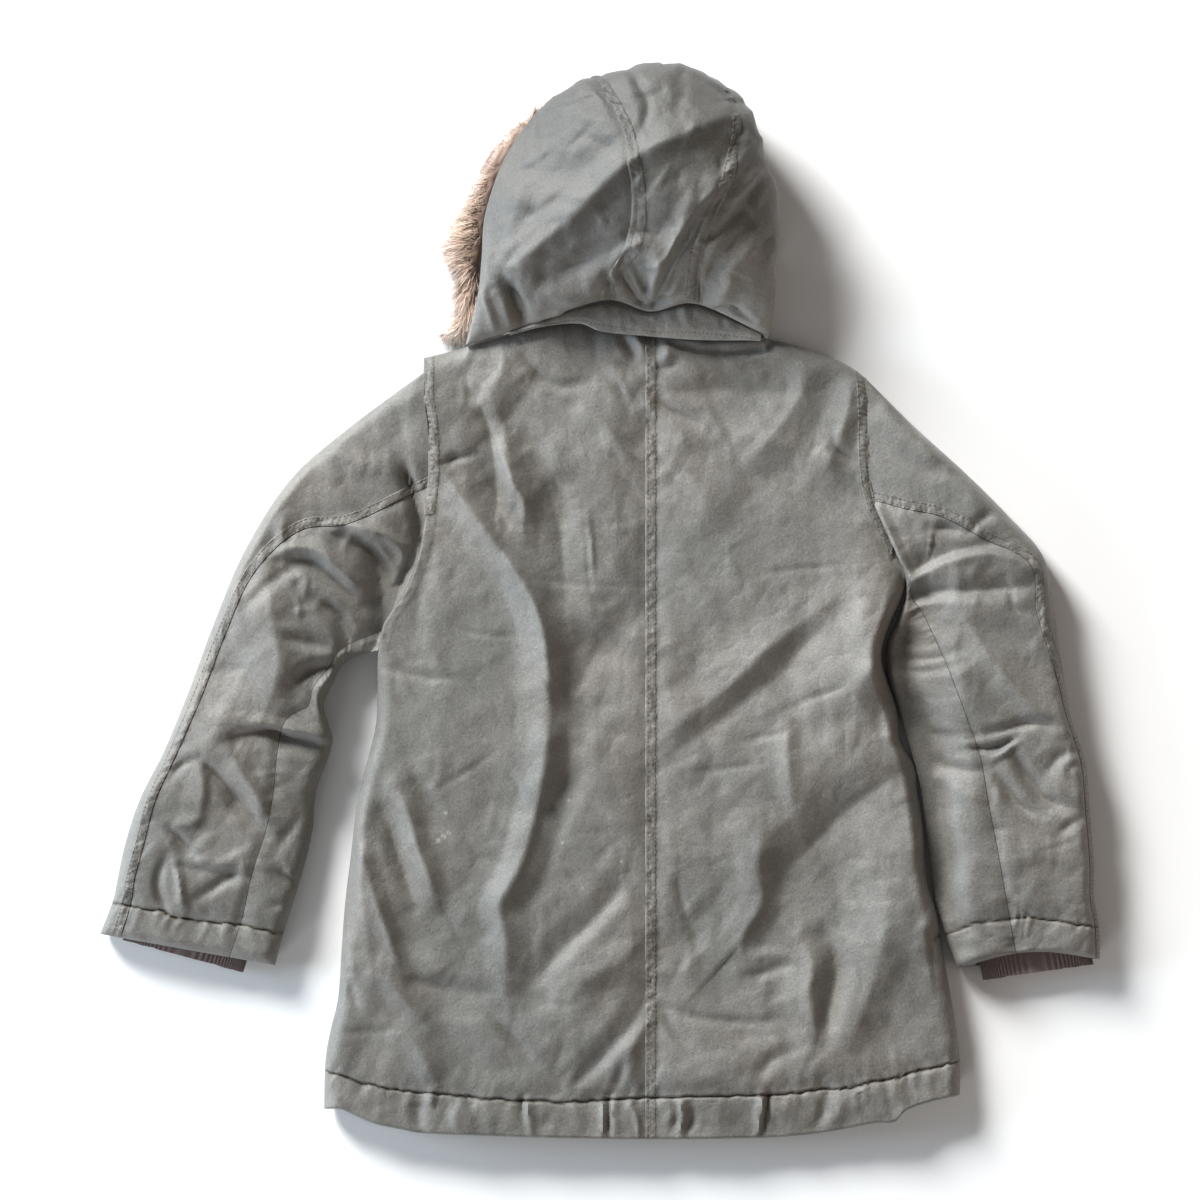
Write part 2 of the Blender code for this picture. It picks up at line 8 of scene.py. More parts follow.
import bmesh
import bpy
import numpy as np
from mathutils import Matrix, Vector


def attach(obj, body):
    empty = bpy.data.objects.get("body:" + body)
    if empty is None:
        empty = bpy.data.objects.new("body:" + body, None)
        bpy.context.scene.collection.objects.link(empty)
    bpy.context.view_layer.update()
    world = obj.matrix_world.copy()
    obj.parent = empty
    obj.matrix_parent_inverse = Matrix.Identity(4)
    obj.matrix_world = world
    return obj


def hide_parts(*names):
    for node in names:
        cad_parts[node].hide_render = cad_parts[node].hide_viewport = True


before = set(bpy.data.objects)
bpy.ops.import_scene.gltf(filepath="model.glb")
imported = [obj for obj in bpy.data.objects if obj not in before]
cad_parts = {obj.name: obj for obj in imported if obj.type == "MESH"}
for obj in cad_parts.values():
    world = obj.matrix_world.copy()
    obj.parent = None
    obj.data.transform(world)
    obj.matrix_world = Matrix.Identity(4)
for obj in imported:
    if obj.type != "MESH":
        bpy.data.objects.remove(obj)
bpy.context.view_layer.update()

MM = 0.001

# ---------------------------------------------------------------- sizes of the coat
SEAM_GAP = 0.4            # clear gap between two sewn pieces
ARMHOLE_GAP = 0.05
FRONT_WALL = 9.0
BACK_TOP = 25.0           # top of the padded back over the floor
BACK_FLOOR = 9.5
EDGE_RISE = 2.5           # thickness left at the back's outer edges
SIDE_ROLL = 12.0
SHOULDER_ROLL = 16.0
HEM_ROLL = 3.0
UNDER_INSET = 6.0
CENTRE_X = 37.0
ZIP_WIDTH = 12.0
ZIP_HEIGHT = 7.0
TOOTH = (4.4, 2.0, 1.4)
TOOTH_PITCH = 3.0
TOOTH_OFFSET = 0.9        # of the two rows of teeth from the zip's middle
TOOTH_MARGIN = 4          # tape left without teeth at either end
UNDERARM = {-1: -47.0, 1: 5.0}
ARMHOLE_START = {-1: 0.79, 1: 0.75}   # share of the side's height where its strip begins
HOOD_SPAN = (-108.0, 134.0)   # x between which the hood covers the shoulders

SLEEVE_SLAB = 10.0
LAYER_GAP = 0.5
SLEEVE_EDGE = 13.0
SLEEVE_FOOT = 9.0
SLEEVE_ROLL = 11.0
SLEEVE_WRAP = 14.0
CUFF_TURN = 27.0
RIB_WALL = 3.2
RIB_INSIDE = 22.0
RIB_PITCH = 2.3

HOOD_WALL = 6.0
HOOD_ROLL = 3.5           # width over which its face rounds down to an edge
HOOD_SEAM_GAP = 0.6
BAND_WALL = 3.0
BAND_SPAN = (-72.0, 128.0)
BAND_TOP = 33.0

# Rounded lengths along the cloth
BODY_LENGTH = 620.0
SLEEVE_BACK_WIDTH = 95.0
SLEEVE_ROW = 45.0         # from one row of a sleeve's table to the next
HOOD_PANEL_WIDTH = 95.0
HOOD_LENGTH = 250.0
HOOD_ROW = 38.0           # from one row of the hood's table to the next
HOOD_RIM_ROW = 20.0       # the same near the rim, where the rows lie closer
BAND_LENGTH = 170.0
BAND_WIDTH = 14.0
FUR_LENGTH = 650.0

STRIP = 8.0               # width of a felled seam's sewn strip
STRIP_RISE = 0.4          # how far the cloth under it is raised
STRIP_WALL = 0.8
STRIP_LAP = 1.2           # how far it laps back over the seam
STITCH = 2.0              # length of a stitch that shows
STITCH_PITCH = 3.5
STITCH_RADIUS = 0.32
STITCH_INSET = 1.4        # from the strip's edges to its rows of stitches
STITCH_RISE = 0.5

# Target size of one grid cell
BODY_CELL = 2.5
SLEEVE_CELL = 2.3
HOOD_CELL = 2.2
BAND_CELL = 1.8
PLAIN_CELL = 10.0         # where the cloth lies flat
FUR_CELL = 4.0

# ---------------------------------------------------------------- outline
# (y, x) of the outline from hem to shoulder; above the underarm it is the armhole seam
SIDE_LEFT = (
    (-405, -221), (-367, -220), (-343, -216), (-319, -210), (-279, -207), (-239, -204),
    (-207, -200), (-159, -194), (-119, -184), (-95, -179), (-47, -178), (-31, -176),
    (-16, -172), (1, -160), (21, -150), (41, -144), (73, -139), (105, -136),
    (137, -137), (161, -140), (195, -140),
)
SIDE_RIGHT = (
    (-395, 288), (-367, 288), (-335, 284), (-283, 275), (-251, 270), (-223, 262),
    (-175, 258), (-151, 254), (-133, 252), (-113, 241), (-87, 238), (-67, 232),
    (-47, 226), (-30, 228), (-3, 239), (19, 244), (35, 238), (57, 228),
    (81, 218), (113, 214), (145, 214), (179, 212),
)
# (x, y) of the hem's edge and of the shoulders and neck
HEM = (
    (-221, -406), (-208, -406), (-192, -413), (-179, -418), (-160, -422), (-144, -425),
    (-96, -427), (-32, -429), (38, -430), (128, -429), (160, -427), (184, -424),
    (221, -417), (236, -416), (243, -408), (264, -400), (288, -395),
)
NECK = (
    (-140, 195), (-112, 202), (-80, 212), (-48, 221), (-16, 224), (0, 218), (38, 214),
    (78, 211), (132, 210), (152, 206), (192, 192), (206, 184), (212, 179),
)
# (x, y) of the stitched grooves over the turned hem and cuffs
HEM_GROOVE = (
    (-221, -375), (-190, -385), (-165, -390), (-125, -394), (-85, -398), (-20, -400),
    (38, -397), (128, -395), (170, -391), (200, -389), (208, -386), (235, -381),
    (256, -375), (289, -367),
)
CUFF_GROOVES = (
    ((-392, -240), (-376, -244), (-352, -247), (-340, -252), (-310, -256), (-285, -259),
     (-250, -267)),
    ((268, -269), (285, -264), (293, -259), (300, -257), (330, -253), (345, -252),
     (380, -258), (398, -260)),
)

# Folds of the cloth.  A fold runs on a smooth line through its points; its height is over
# the cloth's face, negative for a trough, and its left and right widths are those on either
# hand of someone who walks along it.
#   height, left, right, crest's radius, points
BODY_FOLDS = (
    # left half, from the armhole down to the hem
    (7.4, 13, 16, 1.5, (-127, 106), (-112, 84), (-96, 64), (-80, 42), (-66, 23), (-54, 3),
     (-45, -26), (-41, -62)),
    (4.6, 20, 20, 2.5, (-64, 22), (-49, -12), (-42, -50), (-41, -115), (-52, -175)),
    (5.4, 12, 12, 1.0, (-86, 136), (-78, 115), (-70, 96), (-61, 78), (-62, 56)),
    (-4.6, 14, 16, 2.0, (-62, 126), (-45, 100), (-35, 70), (-30, 40), (-28, 6)),
    (-6.0, 9, 19, 1.0, (-99, 162), (-89, 138), (-84, 112), (-82, 92), (-82, 76)),
    (2.6, 22, 9, 1.0, (-76, 206), (-78, 187), (-88, 166), (-104, 150)),
    (-2.6, 32, 12, 2.0, (-60, 168), (-70, 150), (-86, 136)),
    (-2.0, 3, 5, 0.6, (-131, 107), (-115, 115), (-99, 118)),
    (-2.0, 5, 6, 1.5, (-60, 196), (-48, 180), (-30, 172), (-8, 176)),
    (1.8, 5, 7, 1.0, (-14, 150), (4, 140), (20, 122), (34, 112)),
    (-1.6, 5, 5, 1.0, (-36, 96), (-30, 76), (-27, 56)),
    (1.4, 3, 3, 0.6, (-9, 66), (-7, 44), (-6, 22)),
    (5.5, 16, 13, 2.0, (-42, -110), (-50, -165), (-63, -210), (-80, -242), (-75, -270),
     (-76, -312)),
    (-3.4, 16, 14, 4.0, (-22, -40), (-26, -80), (-26, -140), (-44, -170), (-52, -198),
     (-60, -224)),
    (-2.5, 12, 14, 4.0, (20, -10), (-5, -45), (-24, -80)),
    (-2.2, 14, 16, 6.0, (30, -8), (12, -44), (4, -80)),
    (-0.9, 3, 3, 0.5, (-118, -20), (-92, -27), (-66, -28)),
    (-1.4, 6, 4, 0.8, (-176, -52), (-145, -60), (-110, -63)),
    (-0.7, 3, 3, 0.5, (-62, 19), (-15, 13), (36, 12)),
    (-0.6, 2.5, 2.5, 0.5, (-8, 62), (-9, 35), (-8, 8)),
    (-1.5, 12, 10, 4.0, (-130, 62), (-140, 20), (-152, -42)),
    # puckers along the centre-back seam under the hood
    (-2.5, 6, 6, 1.2, (19, 212), (24, 200), (32, 190)),
    (2.2, 5, 5, 1.2, (28, 214), (33, 205), (37, 196)),
    (-2.0, 6, 6, 1.5, (10, 191), (22, 188), (35, 180)),
    (-1.6, 4, 5, 1.0, (11, 176), (17, 167), (24, 157)),
    (-2.0, 7, 7, 2.0, (22, 170), (29, 162), (36, 155)),
    (2.6, 7, 6, 1.5, (49, 211), (54, 203), (52, 194), (44, 189)),
    (-2.2, 5, 5, 1.2, (43, 187), (52, 188), (62, 190)),
    (-1.8, 9, 8, 3.0, (49, 167), (90, 169), (150, 170)),
    (-2.6, 6, 7, 1.0, (43, 164), (52, 155), (67, 147), (88, 137)),
    (-1.5, 5, 5, 1.0, (14, 132), (24, 124), (36, 112)),
    (-1.4, 5, 5, 1.0, (16, 98), (26, 90), (36, 84)),
    (-1.3, 5, 5, 1.0, (45, 118), (54, 106), (66, 98)),
    # under the hood's band, right
    (-3.6, 6, 5, 1.5, (45, 213), (62, 203), (85, 197), (118, 199), (137, 204)),
    (3.4, 18, 20, 2.0, (166, 180), (158, 160), (140, 135), (106, 98)),
    (3.2, 11, 16, 1.5, (203, 180), (198, 152), (188, 122), (176, 100)),
    (-3.6, 5, 18, 1.5, (222, 74), (232, 47), (242, 22), (240, 0)),
    (8.4, 12, 50, 4.0, (232, 26), (228, 0), (221, -30), (218, -60), (227, -92), (240, -132),
     (247, -170), (252, -210), (259, -258)),
    (-2.2, 6, 6, 1.5, (186, 137), (190, 120), (206, 104)),
    (2.0, 26, 18, 8.0, (86, 96), (84, 75), (92, 50)),
    # pulls over the turned hem
    (1.8, 3, 4, 0.6, (-135, -390), (-134, -397), (-135, -405)),
    (-2.0, 5, 6, 1.5, (-144, -398), (-146, -410), (-143, -422)),
    (1.6, 6, 5, 1.5, (-112, -404), (-116, -414), (-112, -424)),
    (2.4, 5, 3, 0.6, (-58, -398), (-57, -410), (-55, -426)),
    (-1.8, 3, 3, 0.8, (-62, -396), (-62, -404), (-63, -412)),
    (2.2, 3, 4, 0.6, (2, -400), (4, -414), (2, -426)),
    (-2.4, 3, 3, 0.6, (7, -394), (7, -410), (6, -427)),
    (1.8, 5, 3, 0.6, (11, -398), (10, -412), (13, -428)),
    (1.5, 3, 3, 0.6, (25, -402), (30, -414), (31, -428)),
    (2.4, 5, 3, 0.6, (63, -396), (65, -410), (64, -428)),
    (-1.8, 4, 4, 1.0, (72, -402), (75, -412), (70, -424)),
    (-1.6, 4, 3, 1.0, (60, -400), (61, -410), (57, -424)),
    (3.0, 3, 5, 0.6, (131, -392), (129, -405), (127, -424)),
    (-2.4, 3, 3, 0.8, (135, -394), (133, -408), (130, -426)),
    (1.6, 6, 6, 2.0, (190, -392), (192, -404), (186, -418)),
    (-1.6, 6, 5, 1.5, (176, -396), (178, -408), (172, -420)),
    # right side
    (3.2, 20, 12, 2.5, (44, -112), (80, -85), (110, -60), (130, -40), (150, -25), (188, 3)),
    (-2.2, 12, 16, 3.0, (48, -127), (90, -101), (120, -76), (150, -52), (165, -33),
     (192, -12)),
    (-0.9, 3, 3, 0.6, (150, -86), (172, -76), (197, -68)),
    (-0.9, 3, 3, 0.6, (113, -113), (132, -108), (152, -104)),
    (-0.8, 3, 3, 0.6, (68, -138), (98, -134), (132, -129)),
    (2.2, 9, 8, 1.0, (150, -98), (150, -128), (154, -160)),
    (2.8, 14, 12, 5.0, (206, 6), (210, -24), (216, -52)),
    (3.0, 14, 10, 1.5, (239, -2), (227, -30), (221, -46), (206, -70)),
    (-3.4, 12, 14, 5.0, (232, -52), (224, -82), (226, -112)),
    (-0.9, 3, 3, 0.5, (128, 22), (160, 26), (192, 28)),
    # left side and lower left
    (4.4, 9, 9, 1.5, (-166, -146), (-153, -170), (-146, -195), (-137, -218), (-131, -240)),
    (-3.0, 6, 8, 2.0, (-174, -168), (-164, -195), (-155, -222), (-148, -245)),
    (-1.8, 8, 8, 3.0, (-156, -128), (-140, -156), (-127, -187)),
    (5.0, 8, 14, 1.0, (-189, -205), (-182, -228), (-175, -250), (-167, -272), (-158, -300)),
    (2.6, 8, 8, 3.0, (-190, -178), (-191, -230), (-183, -288)),
    (4.2, 15, 10, 1.5, (-192, -297), (-170, -303), (-152, -323), (-138, -339)),
    (-2.6, 9, 34, 3.0, (-188, -296), (-130, -308), (-48, -318)),
    (-2.4, 6, 5, 1.0, (-86, -334), (-70, -350), (-52, -369)),
    (2.6, 10, 10, 3.0, (-156, -344), (-140, -365), (-130, -387)),
    (2.5, 14, 24, 4.0, (50, -242), (36, -266), (18, -284), (-4, -297), (-20, -310),
     (-24, -328), (-20, -350)),
    (-3.0, 8, 14, 2.0, (26, -208), (12, -235), (-8, -257), (-32, -280), (-50, -302)),
    (-2.6, 7, 13, 2.0, (38, -312), (26, -338), (6, -360), (-14, -380), (-30, -392)),
    (2.0, 9, 14, 2.0, (42, -328), (31, -347), (21, -364), (10, -387)),
    (-2.2, 5, 5, 1.5, (21, -364), (16, -378), (12, -391)),
    (-0.9, 4, 4, 0.8, (-211, -345), (-185, -344), (-158, -341)),
    (-1.6, 5, 5, 1.5, (-203, -299), (-198, -312), (-194, -326)),
    (-0.8, 3, 3, 0.5, (-131, -151), (-108, -137), (-84, -121)),
    (-0.7, 3, 3, 0.5, (-71, -139), (-66, -147), (-62, -156)),
    # lower right
    (-5.2, 70, 22, 2.5, (276, -116), (254, -131), (220, -150), (200, -165), (185, -180),
     (165, -200), (150, -215), (140, -235), (132, -250), (117, -267)),
    (4.0, 12, 15, 1.5, (130, -183), (126, -210), (129, -240), (115, -265), (113, -277),
     (117, -291)),
    (1.5, 6, 5, 1.5, (118, -286), (138, -282), (153, -287)),
    (-1.8, 5, 5, 1.2, (117, -301), (134, -296), (151, -290)),
    (3.9, 8, 17, 1.5, (158, -266), (170, -290), (167, -312), (172, -340), (168, -357)),
    (-4.2, 11, 8, 3.0, (180, -268), (189, -292), (185, -320), (174, -350)),
    (4.0, 18, 28, 4.0, (231, -228), (227, -260), (221, -290), (212, -320), (201, -345),
     (186, -367)),
    (-1.9, 7, 8, 1.5, (127, -383), (133, -370), (145, -362), (162, -357)),
    (-1.1, 4, 4, 0.8, (60, -221), (66, -243), (75, -266)),
    (-1.6, 5, 5, 1.0, (44, -319), (75, -332), (106, -336), (141, -335)),
    (-1.9, 5, 5, 1.2, (49, -324), (60, -345), (76, -359)),
    (-1.4, 9, 9, 4.0, (76, -258), (76, -270), (80, -282)),
)
LEFT_SLEEVE_FOLDS = (
    (3.4, 10, 12, 0.8, (-228, 122), (-205, 114), (-188, 110), (-168, 109), (-150, 103)),
    (-5.5, 7, 8, 1.5, (-160, 107), (-151, 90), (-145, 66), (-143, 44), (-149, 28)),
    (3.6, 7, 8, 0.8, (-215, 62), (-195, 60), (-172, 52), (-158, 40), (-160, 24), (-172, 8)),
    (-8.0, 9, 16, 2.0, (-204, 50), (-186, 40), (-174, 22), (-170, 0)),
    (-9.0, 6, 36, 2.0, (-146, 48), (-158, 18), (-169, -10), (-180, -36)),
    (-8.0, 6, 40, 2.0, (-216, -104), (-222, -140), (-229, -175), (-240, -218), (-252, -256)),
    (3.6, 9, 10, 1.0, (-264, 34), (-243, 43), (-222, 38), (-205, 24), (-188, 8)),
    (-4.4, 9, 10, 2.5, (-256, 32), (-232, 30), (-210, 14), (-190, -4)),
    (-4.8, 9, 9, 2.0, (-226, 2), (-209, -14), (-200, -36)),
    (5.6, 26, 36, 1.5, (-266, 24), (-262, -8), (-256, -40), (-259, -66), (-270, -96)),
    (2.2, 5, 7, 1.0, (-250, 66), (-254, 56), (-251, 44)),
    (-3.4, 5, 8, 2.0, (-157, 108), (-153, 98), (-149, 88)),
    (1.9, 5, 6, 1.5, (-251, 19), (-235, 20), (-236, 5)),
    (0.9, 3, 3, 0.8, (-243, 7), (-240, -4), (-240, -16)),
    (0.8, 3, 3, 0.8, (-245, -10), (-236, -7), (-227, -7)),
    (-2.8, 9, 6, 3.0, (-256, -28), (-236, -33), (-211, -38)),
    (-1.7, 5, 8, 2.0, (-285, -6), (-264, 14), (-248, 25)),
    (-1.2, 6, 6, 2.0, (-266, -10), (-255, -15), (-243, -18)),
    (2.2, 22, 14, 6.0, (-296, -80), (-304, -100), (-318, -124)),
    (-5.5, 9, 11, 3.0, (-245, -68), (-230, -56), (-204, -52)),
    (-6.0, 5, 13, 1.5, (-290, -106), (-265, -103), (-245, -111), (-213, -116)),
    (2.8, 9, 3, 1.2, (-282, -96), (-248, -102), (-220, -108)),
    (-4.2, 7, 9, 1.8, (-320, -127), (-300, -146), (-285, -166), (-266, -189)),
    (3.4, 8, 9, 1.5, (-296, -122), (-277, -150), (-264, -174)),
    (-1.6, 4, 5, 1.2, (-343, -141), (-333, -130), (-320, -124)),
    (2.4, 5, 16, 1.0, (-319, -128), (-316, -150), (-320, -173)),
    (1.2, 5, 8, 1.0, (-318, -172), (-330, -178), (-343, -178)),
    (-3.2, 5, 5, 1.5, (-343, -181), (-335, -191), (-324, -204)),
    (1.8, 12, 6, 1.2, (-338, -205), (-300, -209), (-272, -212)),
    (-1.4, 5, 9, 2.0, (-332, -212), (-300, -217), (-276, -220)),
    (-2.4, 6, 6, 1.5, (-289, -211), (-298, -222), (-326, -239)),
    (3.2, 5, 4, 1.2, (-339, -209), (-335, -225), (-333, -247)),
    (-2.2, 5, 5, 1.5, (-346, -202), (-353, -225), (-346, -248)),
    (-1.8, 5, 5, 1.5, (-264, -243), (-255, -242), (-244, -242)),
    (-1.8, 5, 6, 1.5, (-264, -206), (-252, -188), (-240, -172)),
    (-2.0, 5, 6, 1.5, (-262, -214), (-252, -221), (-241, -227)),
    (1.8, 3, 4, 1.0, (-253, -204), (-248, -214), (-242, -223)),
    (1.6, 12, 12, 5.0, (-320, -188), (-316, -193), (-312, -198)),
)
RIGHT_SLEEVE_FOLDS = (
    (-2.4, 8, 8, 3.0, (222, 119), (245, 112), (268, 104), (290, 100)),
    (-2.8, 5, 5, 1.2, (297, 57), (304, 66), (315, 70)),
    (2.8, 5, 12, 1.2, (243, 12), (263, 24), (282, 32), (311, 38), (337, 30), (355, 22)),
    (-4.0, 13, 10, 0.8, (245, 5), (266, 9), (285, 9), (305, 9), (330, 11), (358, 15)),
    (-2.2, 20, 5, 2.0, (244, 20), (260, 31), (281, 40), (305, 45), (325, 41)),
    (4.0, 6, 5, 1.0, (222, 74), (234, 48), (245, 20)),
    (5.0, 26, 14, 1.0, (286, -4), (305, -36), (322, -58), (345, -84), (366, -100)),
    (-3.0, 7, 6, 0.8, (300, -107), (324, -102), (345, -97), (366, -100)),
    (-1.9, 5, 4, 0.8, (304, -118), (318, -116), (334, -108)),
    (3.2, 4, 4, 0.8, (306, -133), (321, -122), (333, -112)),
    (3.0, 10, 11, 1.0, (250, -60), (262, -76), (280, -104)),
    (-1.8, 6, 5, 1.0, (394, -168), (375, -178), (364, -188)),
    (-14.0, 26, 14, 24.0, (260, 24), (256, 6), (250, -10), (246, -36), (246, -58),
     (252, -88), (257, -120), (261, -150), (266, -196)),
    (-14.0, 16, 14, 14.0, (254, -120), (261, -152), (266, -196), (272, -236), (282, -276)),
    (-3.2, 6, 6, 2.0, (264, 58), (277, 58), (291, 55)),
    (-1.0, 5, 5, 1.5, (240, -2), (258, 4), (279, 9)),
    (1.0, 5, 6, 1.5, (242, -9), (262, -3), (282, 0)),
    (1.4, 7, 6, 2.0, (236, -17), (255, -21), (272, -32)),
    (-1.4, 6, 6, 1.5, (228, -27), (240, -30), (250, -36)),
    (-1.6, 5, 5, 1.5, (224, -39), (250, -46), (270, -45), (287, -38)),
    (-1.3, 5, 5, 1.5, (231, -50), (255, -56), (286, -51)),
    (-1.3, 4, 4, 1.0, (328, 9), (330, -5), (347, -11)),
    (-2.6, 5, 10, 1.2, (242, -102), (260, -106), (285, -107)),
    (-1.6, 4, 5, 1.2, (286, -121), (300, -118), (318, -117), (333, -107)),
    (-2.2, 4, 4, 1.0, (301, -135), (315, -127), (327, -118)),
    (-3.2, 7, 6, 1.5, (313, -134), (322, -147), (333, -162), (352, -171)),
    (-4.2, 8, 7, 1.5, (329, -118), (337, -135), (346, -147), (357, -159), (387, -168)),
    (-1.7, 6, 6, 1.5, (384, -118), (366, -125), (355, -137)),
    (-1.4, 5, 5, 1.2, (388, -127), (374, -135), (384, -149)),
    (2.0, 6, 9, 1.5, (256, -137), (272, -141), (286, -151), (302, -159)),
    (-2.6, 8, 6, 2.0, (258, -127), (285, -134), (303, -138)),
    (-2.8, 12, 8, 4.0, (264, -168), (268, -215), (276, -262)),
    (-0.9, 3, 3, 0.8, (306, -185), (315, -182), (324, -181)),
    (-1.2, 3, 3, 0.6, (321, -237), (333, -244), (347, -253)),
    (-2.2, 4, 4, 1.0, (302, -258), (312, -268), (324, -277)),
    (1.4, 12, 12, 5.0, (330, -192), (350, -200), (368, -206)),
)
HOOD_FOLDS = (
    (6.2, 66, 26, 3.0, (-92, 250), (-76, 260), (-46, 284), (-14, 311), (22, 345),
     (62, 366), (92, 378), (112, 384)),
    (3.8, 18, 11, 2.0, (-88, 250), (-76, 260), (-46, 284), (-14, 311), (22, 345),
     (62, 366), (92, 378), (112, 385)),
    (2.4, 6, 6, 1.5, (13, 256), (15, 272), (24, 282), (36, 284), (46, 274), (45, 254)),
    (-3.5, 5, 5, 1.5, (26, 270), (32, 254), (38, 236)),
    (-4.5, 3, 4, 0.6, (37, 230), (26, 243), (18, 258)),
    (-4.5, 3, 4, 0.6, (39, 230), (51, 239), (66, 246)),
    (-4.0, 3, 4, 0.6, (36, 230), (22, 237), (6, 242)),
    (-3.6, 4, 4, 0.8, (86, 231), (104, 234), (122, 224)),
    (3.6, 6, 7, 1.0, (108, 260), (100, 248), (90, 236)),
    (2.4, 5, 7, 1.0, (92, 252), (113, 273), (136, 306)),
    (5.4, 17, 5, 1.0, (-58, 216), (-34, 234), (-10, 247), (12, 258)),
    (-5.5, 8, 8, 2.0, (-76, 258), (-68, 240), (-60, 220)),
    (3.0, 4, 4, 0.6, (-99, 262), (-90, 240), (-84, 218)),
    (-4.0, 9, 9, 3.0, (22, 284), (-10, 270), (-42, 261)),
    (-4.5, 9, 5, 2.0, (-75, 257), (-72, 248), (-66, 234), (-58, 217)),
    (2.6, 6, 6, 2.0, (-53, 247), (-36, 247), (-18, 244)),
    (5.2, 8, 13, 2.0, (107, 337), (82, 318), (70, 300), (55, 278), (45, 262), (38, 239)),
    (-4.5, 8, 7, 2.0, (80, 322), (72, 295), (60, 270), (42, 237)),
    (-3.2, 7, 7, 2.0, (126, 331), (105, 300), (84, 284)),
    (2.6, 6, 8, 2.0, (131, 346), (118, 332), (104, 316)),
    (-3.2, 7, 7, 2.0, (119, 301), (95, 270), (79, 242)),
    (-3.2, 5, 5, 1.5, (21, 276), (15, 262), (20, 250), (31, 239)),
    (-4.0, 6, 5, 1.2, (36, 229), (27, 244), (20, 262)),
    (-4.5, 5, 5, 1.2, (38, 229), (37, 248), (35, 268)),
    (-4.0, 5, 6, 1.2, (40, 229), (48, 244), (56, 260)),
    (-3.0, 4, 4, 1.0, (10, 236), (8, 250), (4, 262)),
    (-3.0, 5, 5, 1.2, (84, 234), (78, 250), (80, 268)),
    (2.6, 14, 9, 3.0, (18, 266), (33, 277), (50, 268)),
    (-1.9, 6, 8, 2.0, (-8, 366), (6, 359), (18, 357)),
    (-2.2, 5, 5, 1.0, (0, 420), (20, 424), (30, 410), (38, 390), (28, 359)),
    (-1.5, 6, 6, 2.0, (60, 425), (66, 405), (60, 388)),
    (1.8, 10, 10, 4.0, (-60, 340), (-64, 310), (-74, 285)),
)
# How much higher and wider than in their tables the folds of each part are
BODY_DRAPE = (1.6, 1.3)
SLEEVE_DRAPE = (1.5, 1.1)
HOOD_DRAPE = (1.3, 1.1)
# Pale marks on the cloth: x, y, reach
PALE_MARKS = ((-123, -169, 2.2), (-129, -191, 2.8), (-125, -188, 3.0), (-121, -185, 2.4),
              (-25, -159, 1.7), (-30, -193, 1.6), (17, -208, 1.6))
FOLD_ROUND = 1.35         # 1 is a straight-sided fold, 2 a hollow-sided one
REPEAT = 64               # cells after which an uneven pattern comes round again
# Small uneven creases all over: cell's size, height, turn of the grain, seed
CRUMPLE = ((75.0, 4.0, 0.9, 2), (46.0, 1.2, 0.5, 3), (22.0, 0.4, 1.9, 5))
CREASES = ((64.0, 3.0, 0.8, 13), (34.0, 1.0, 2.2, 15))
FACETS = ((44.0, 4.6, 1.0, 201), (24.0, 2.4, 2.3, 211), (12.0, 0.8, 0.3, 221))

# ---------------------------------------------------------------- sleeves, hood and fur
# Rows from the armhole to the cuff:
#   outer x, y,  inner x, y,  shares of the upper and underarm seams, height
SLEEVE_LEFT = (
    (-140, 183, -177, -39, 0.41, 0.93, 25),
    (-203, 137, -204, -49, 0.40, 0.93, 31),
    (-248, 97, -214, -66, 0.25, 0.92, 34),
    (-284, 41, -221, -83, 0.14, 0.88, 35),
    (-308, -15, -217, -99, 0.11, 0.82, 36),
    (-328, -69, -214, -110, 0.10, 0.67, 36),
    (-348, -118, -217, -124, 0.09, 0.69, 34),
    (-368, -158, -227, -152, 0.10, 0.76, 35),
    (-380, -194, -230, -183, 0.11, 0.75, 34),
    (-386, -222, -238, -217, 0.10, 0.73, 33),
    (-390, -240, -251, -258, 0.11, 0.75, 30),
    (-400, -266, -260, -291, 0.12, 0.74, 27),
)
SLEEVE_RIGHT = (
    (212, 178, 244, 18, 0.61, 0.93, 25),
    (251, 140, 245, 12, 0.52, 0.93, 31),
    (292, 103, 244, 2, 0.36, 0.92, 34),
    (327, 68, 240, -8, 0.24, 0.88, 36),
    (355, 35, 236, -18, 0.10, 0.82, 37),
    (363, -6, 229, -36, 0.11, 0.72, 35),
    (370, -55, 230, -58, 0.05, 0.65, 36),
    (376, -91, 239, -88, 0.03, 0.62, 36),
    (388, -128, 249, -120, 0.03, 0.61, 34),
    (392, -170, 257, -152, 0.03, 0.61, 36),
    (395, -212, 262, -196, 0.03, 0.58, 35),
    (395, -236, 268, -236, 0.03, 0.56, 33),
    (399, -259, 276, -266, 0.03, 0.57, 30),
    (400, -286, 286, -293, 0.03, 0.59, 27),
)
# Shares of the cuff's width, and the knit's reach past its edge at either end
RIB_LEFT = (0.13, 0.84, 1.5, 10.5)
RIB_RIGHT = (0.05, 0.84, 4.0, 11.5)
# How far a cuff's edge arches back over the knit
CUFF_ARCH = {-1: 0.0, 1: 9.0}

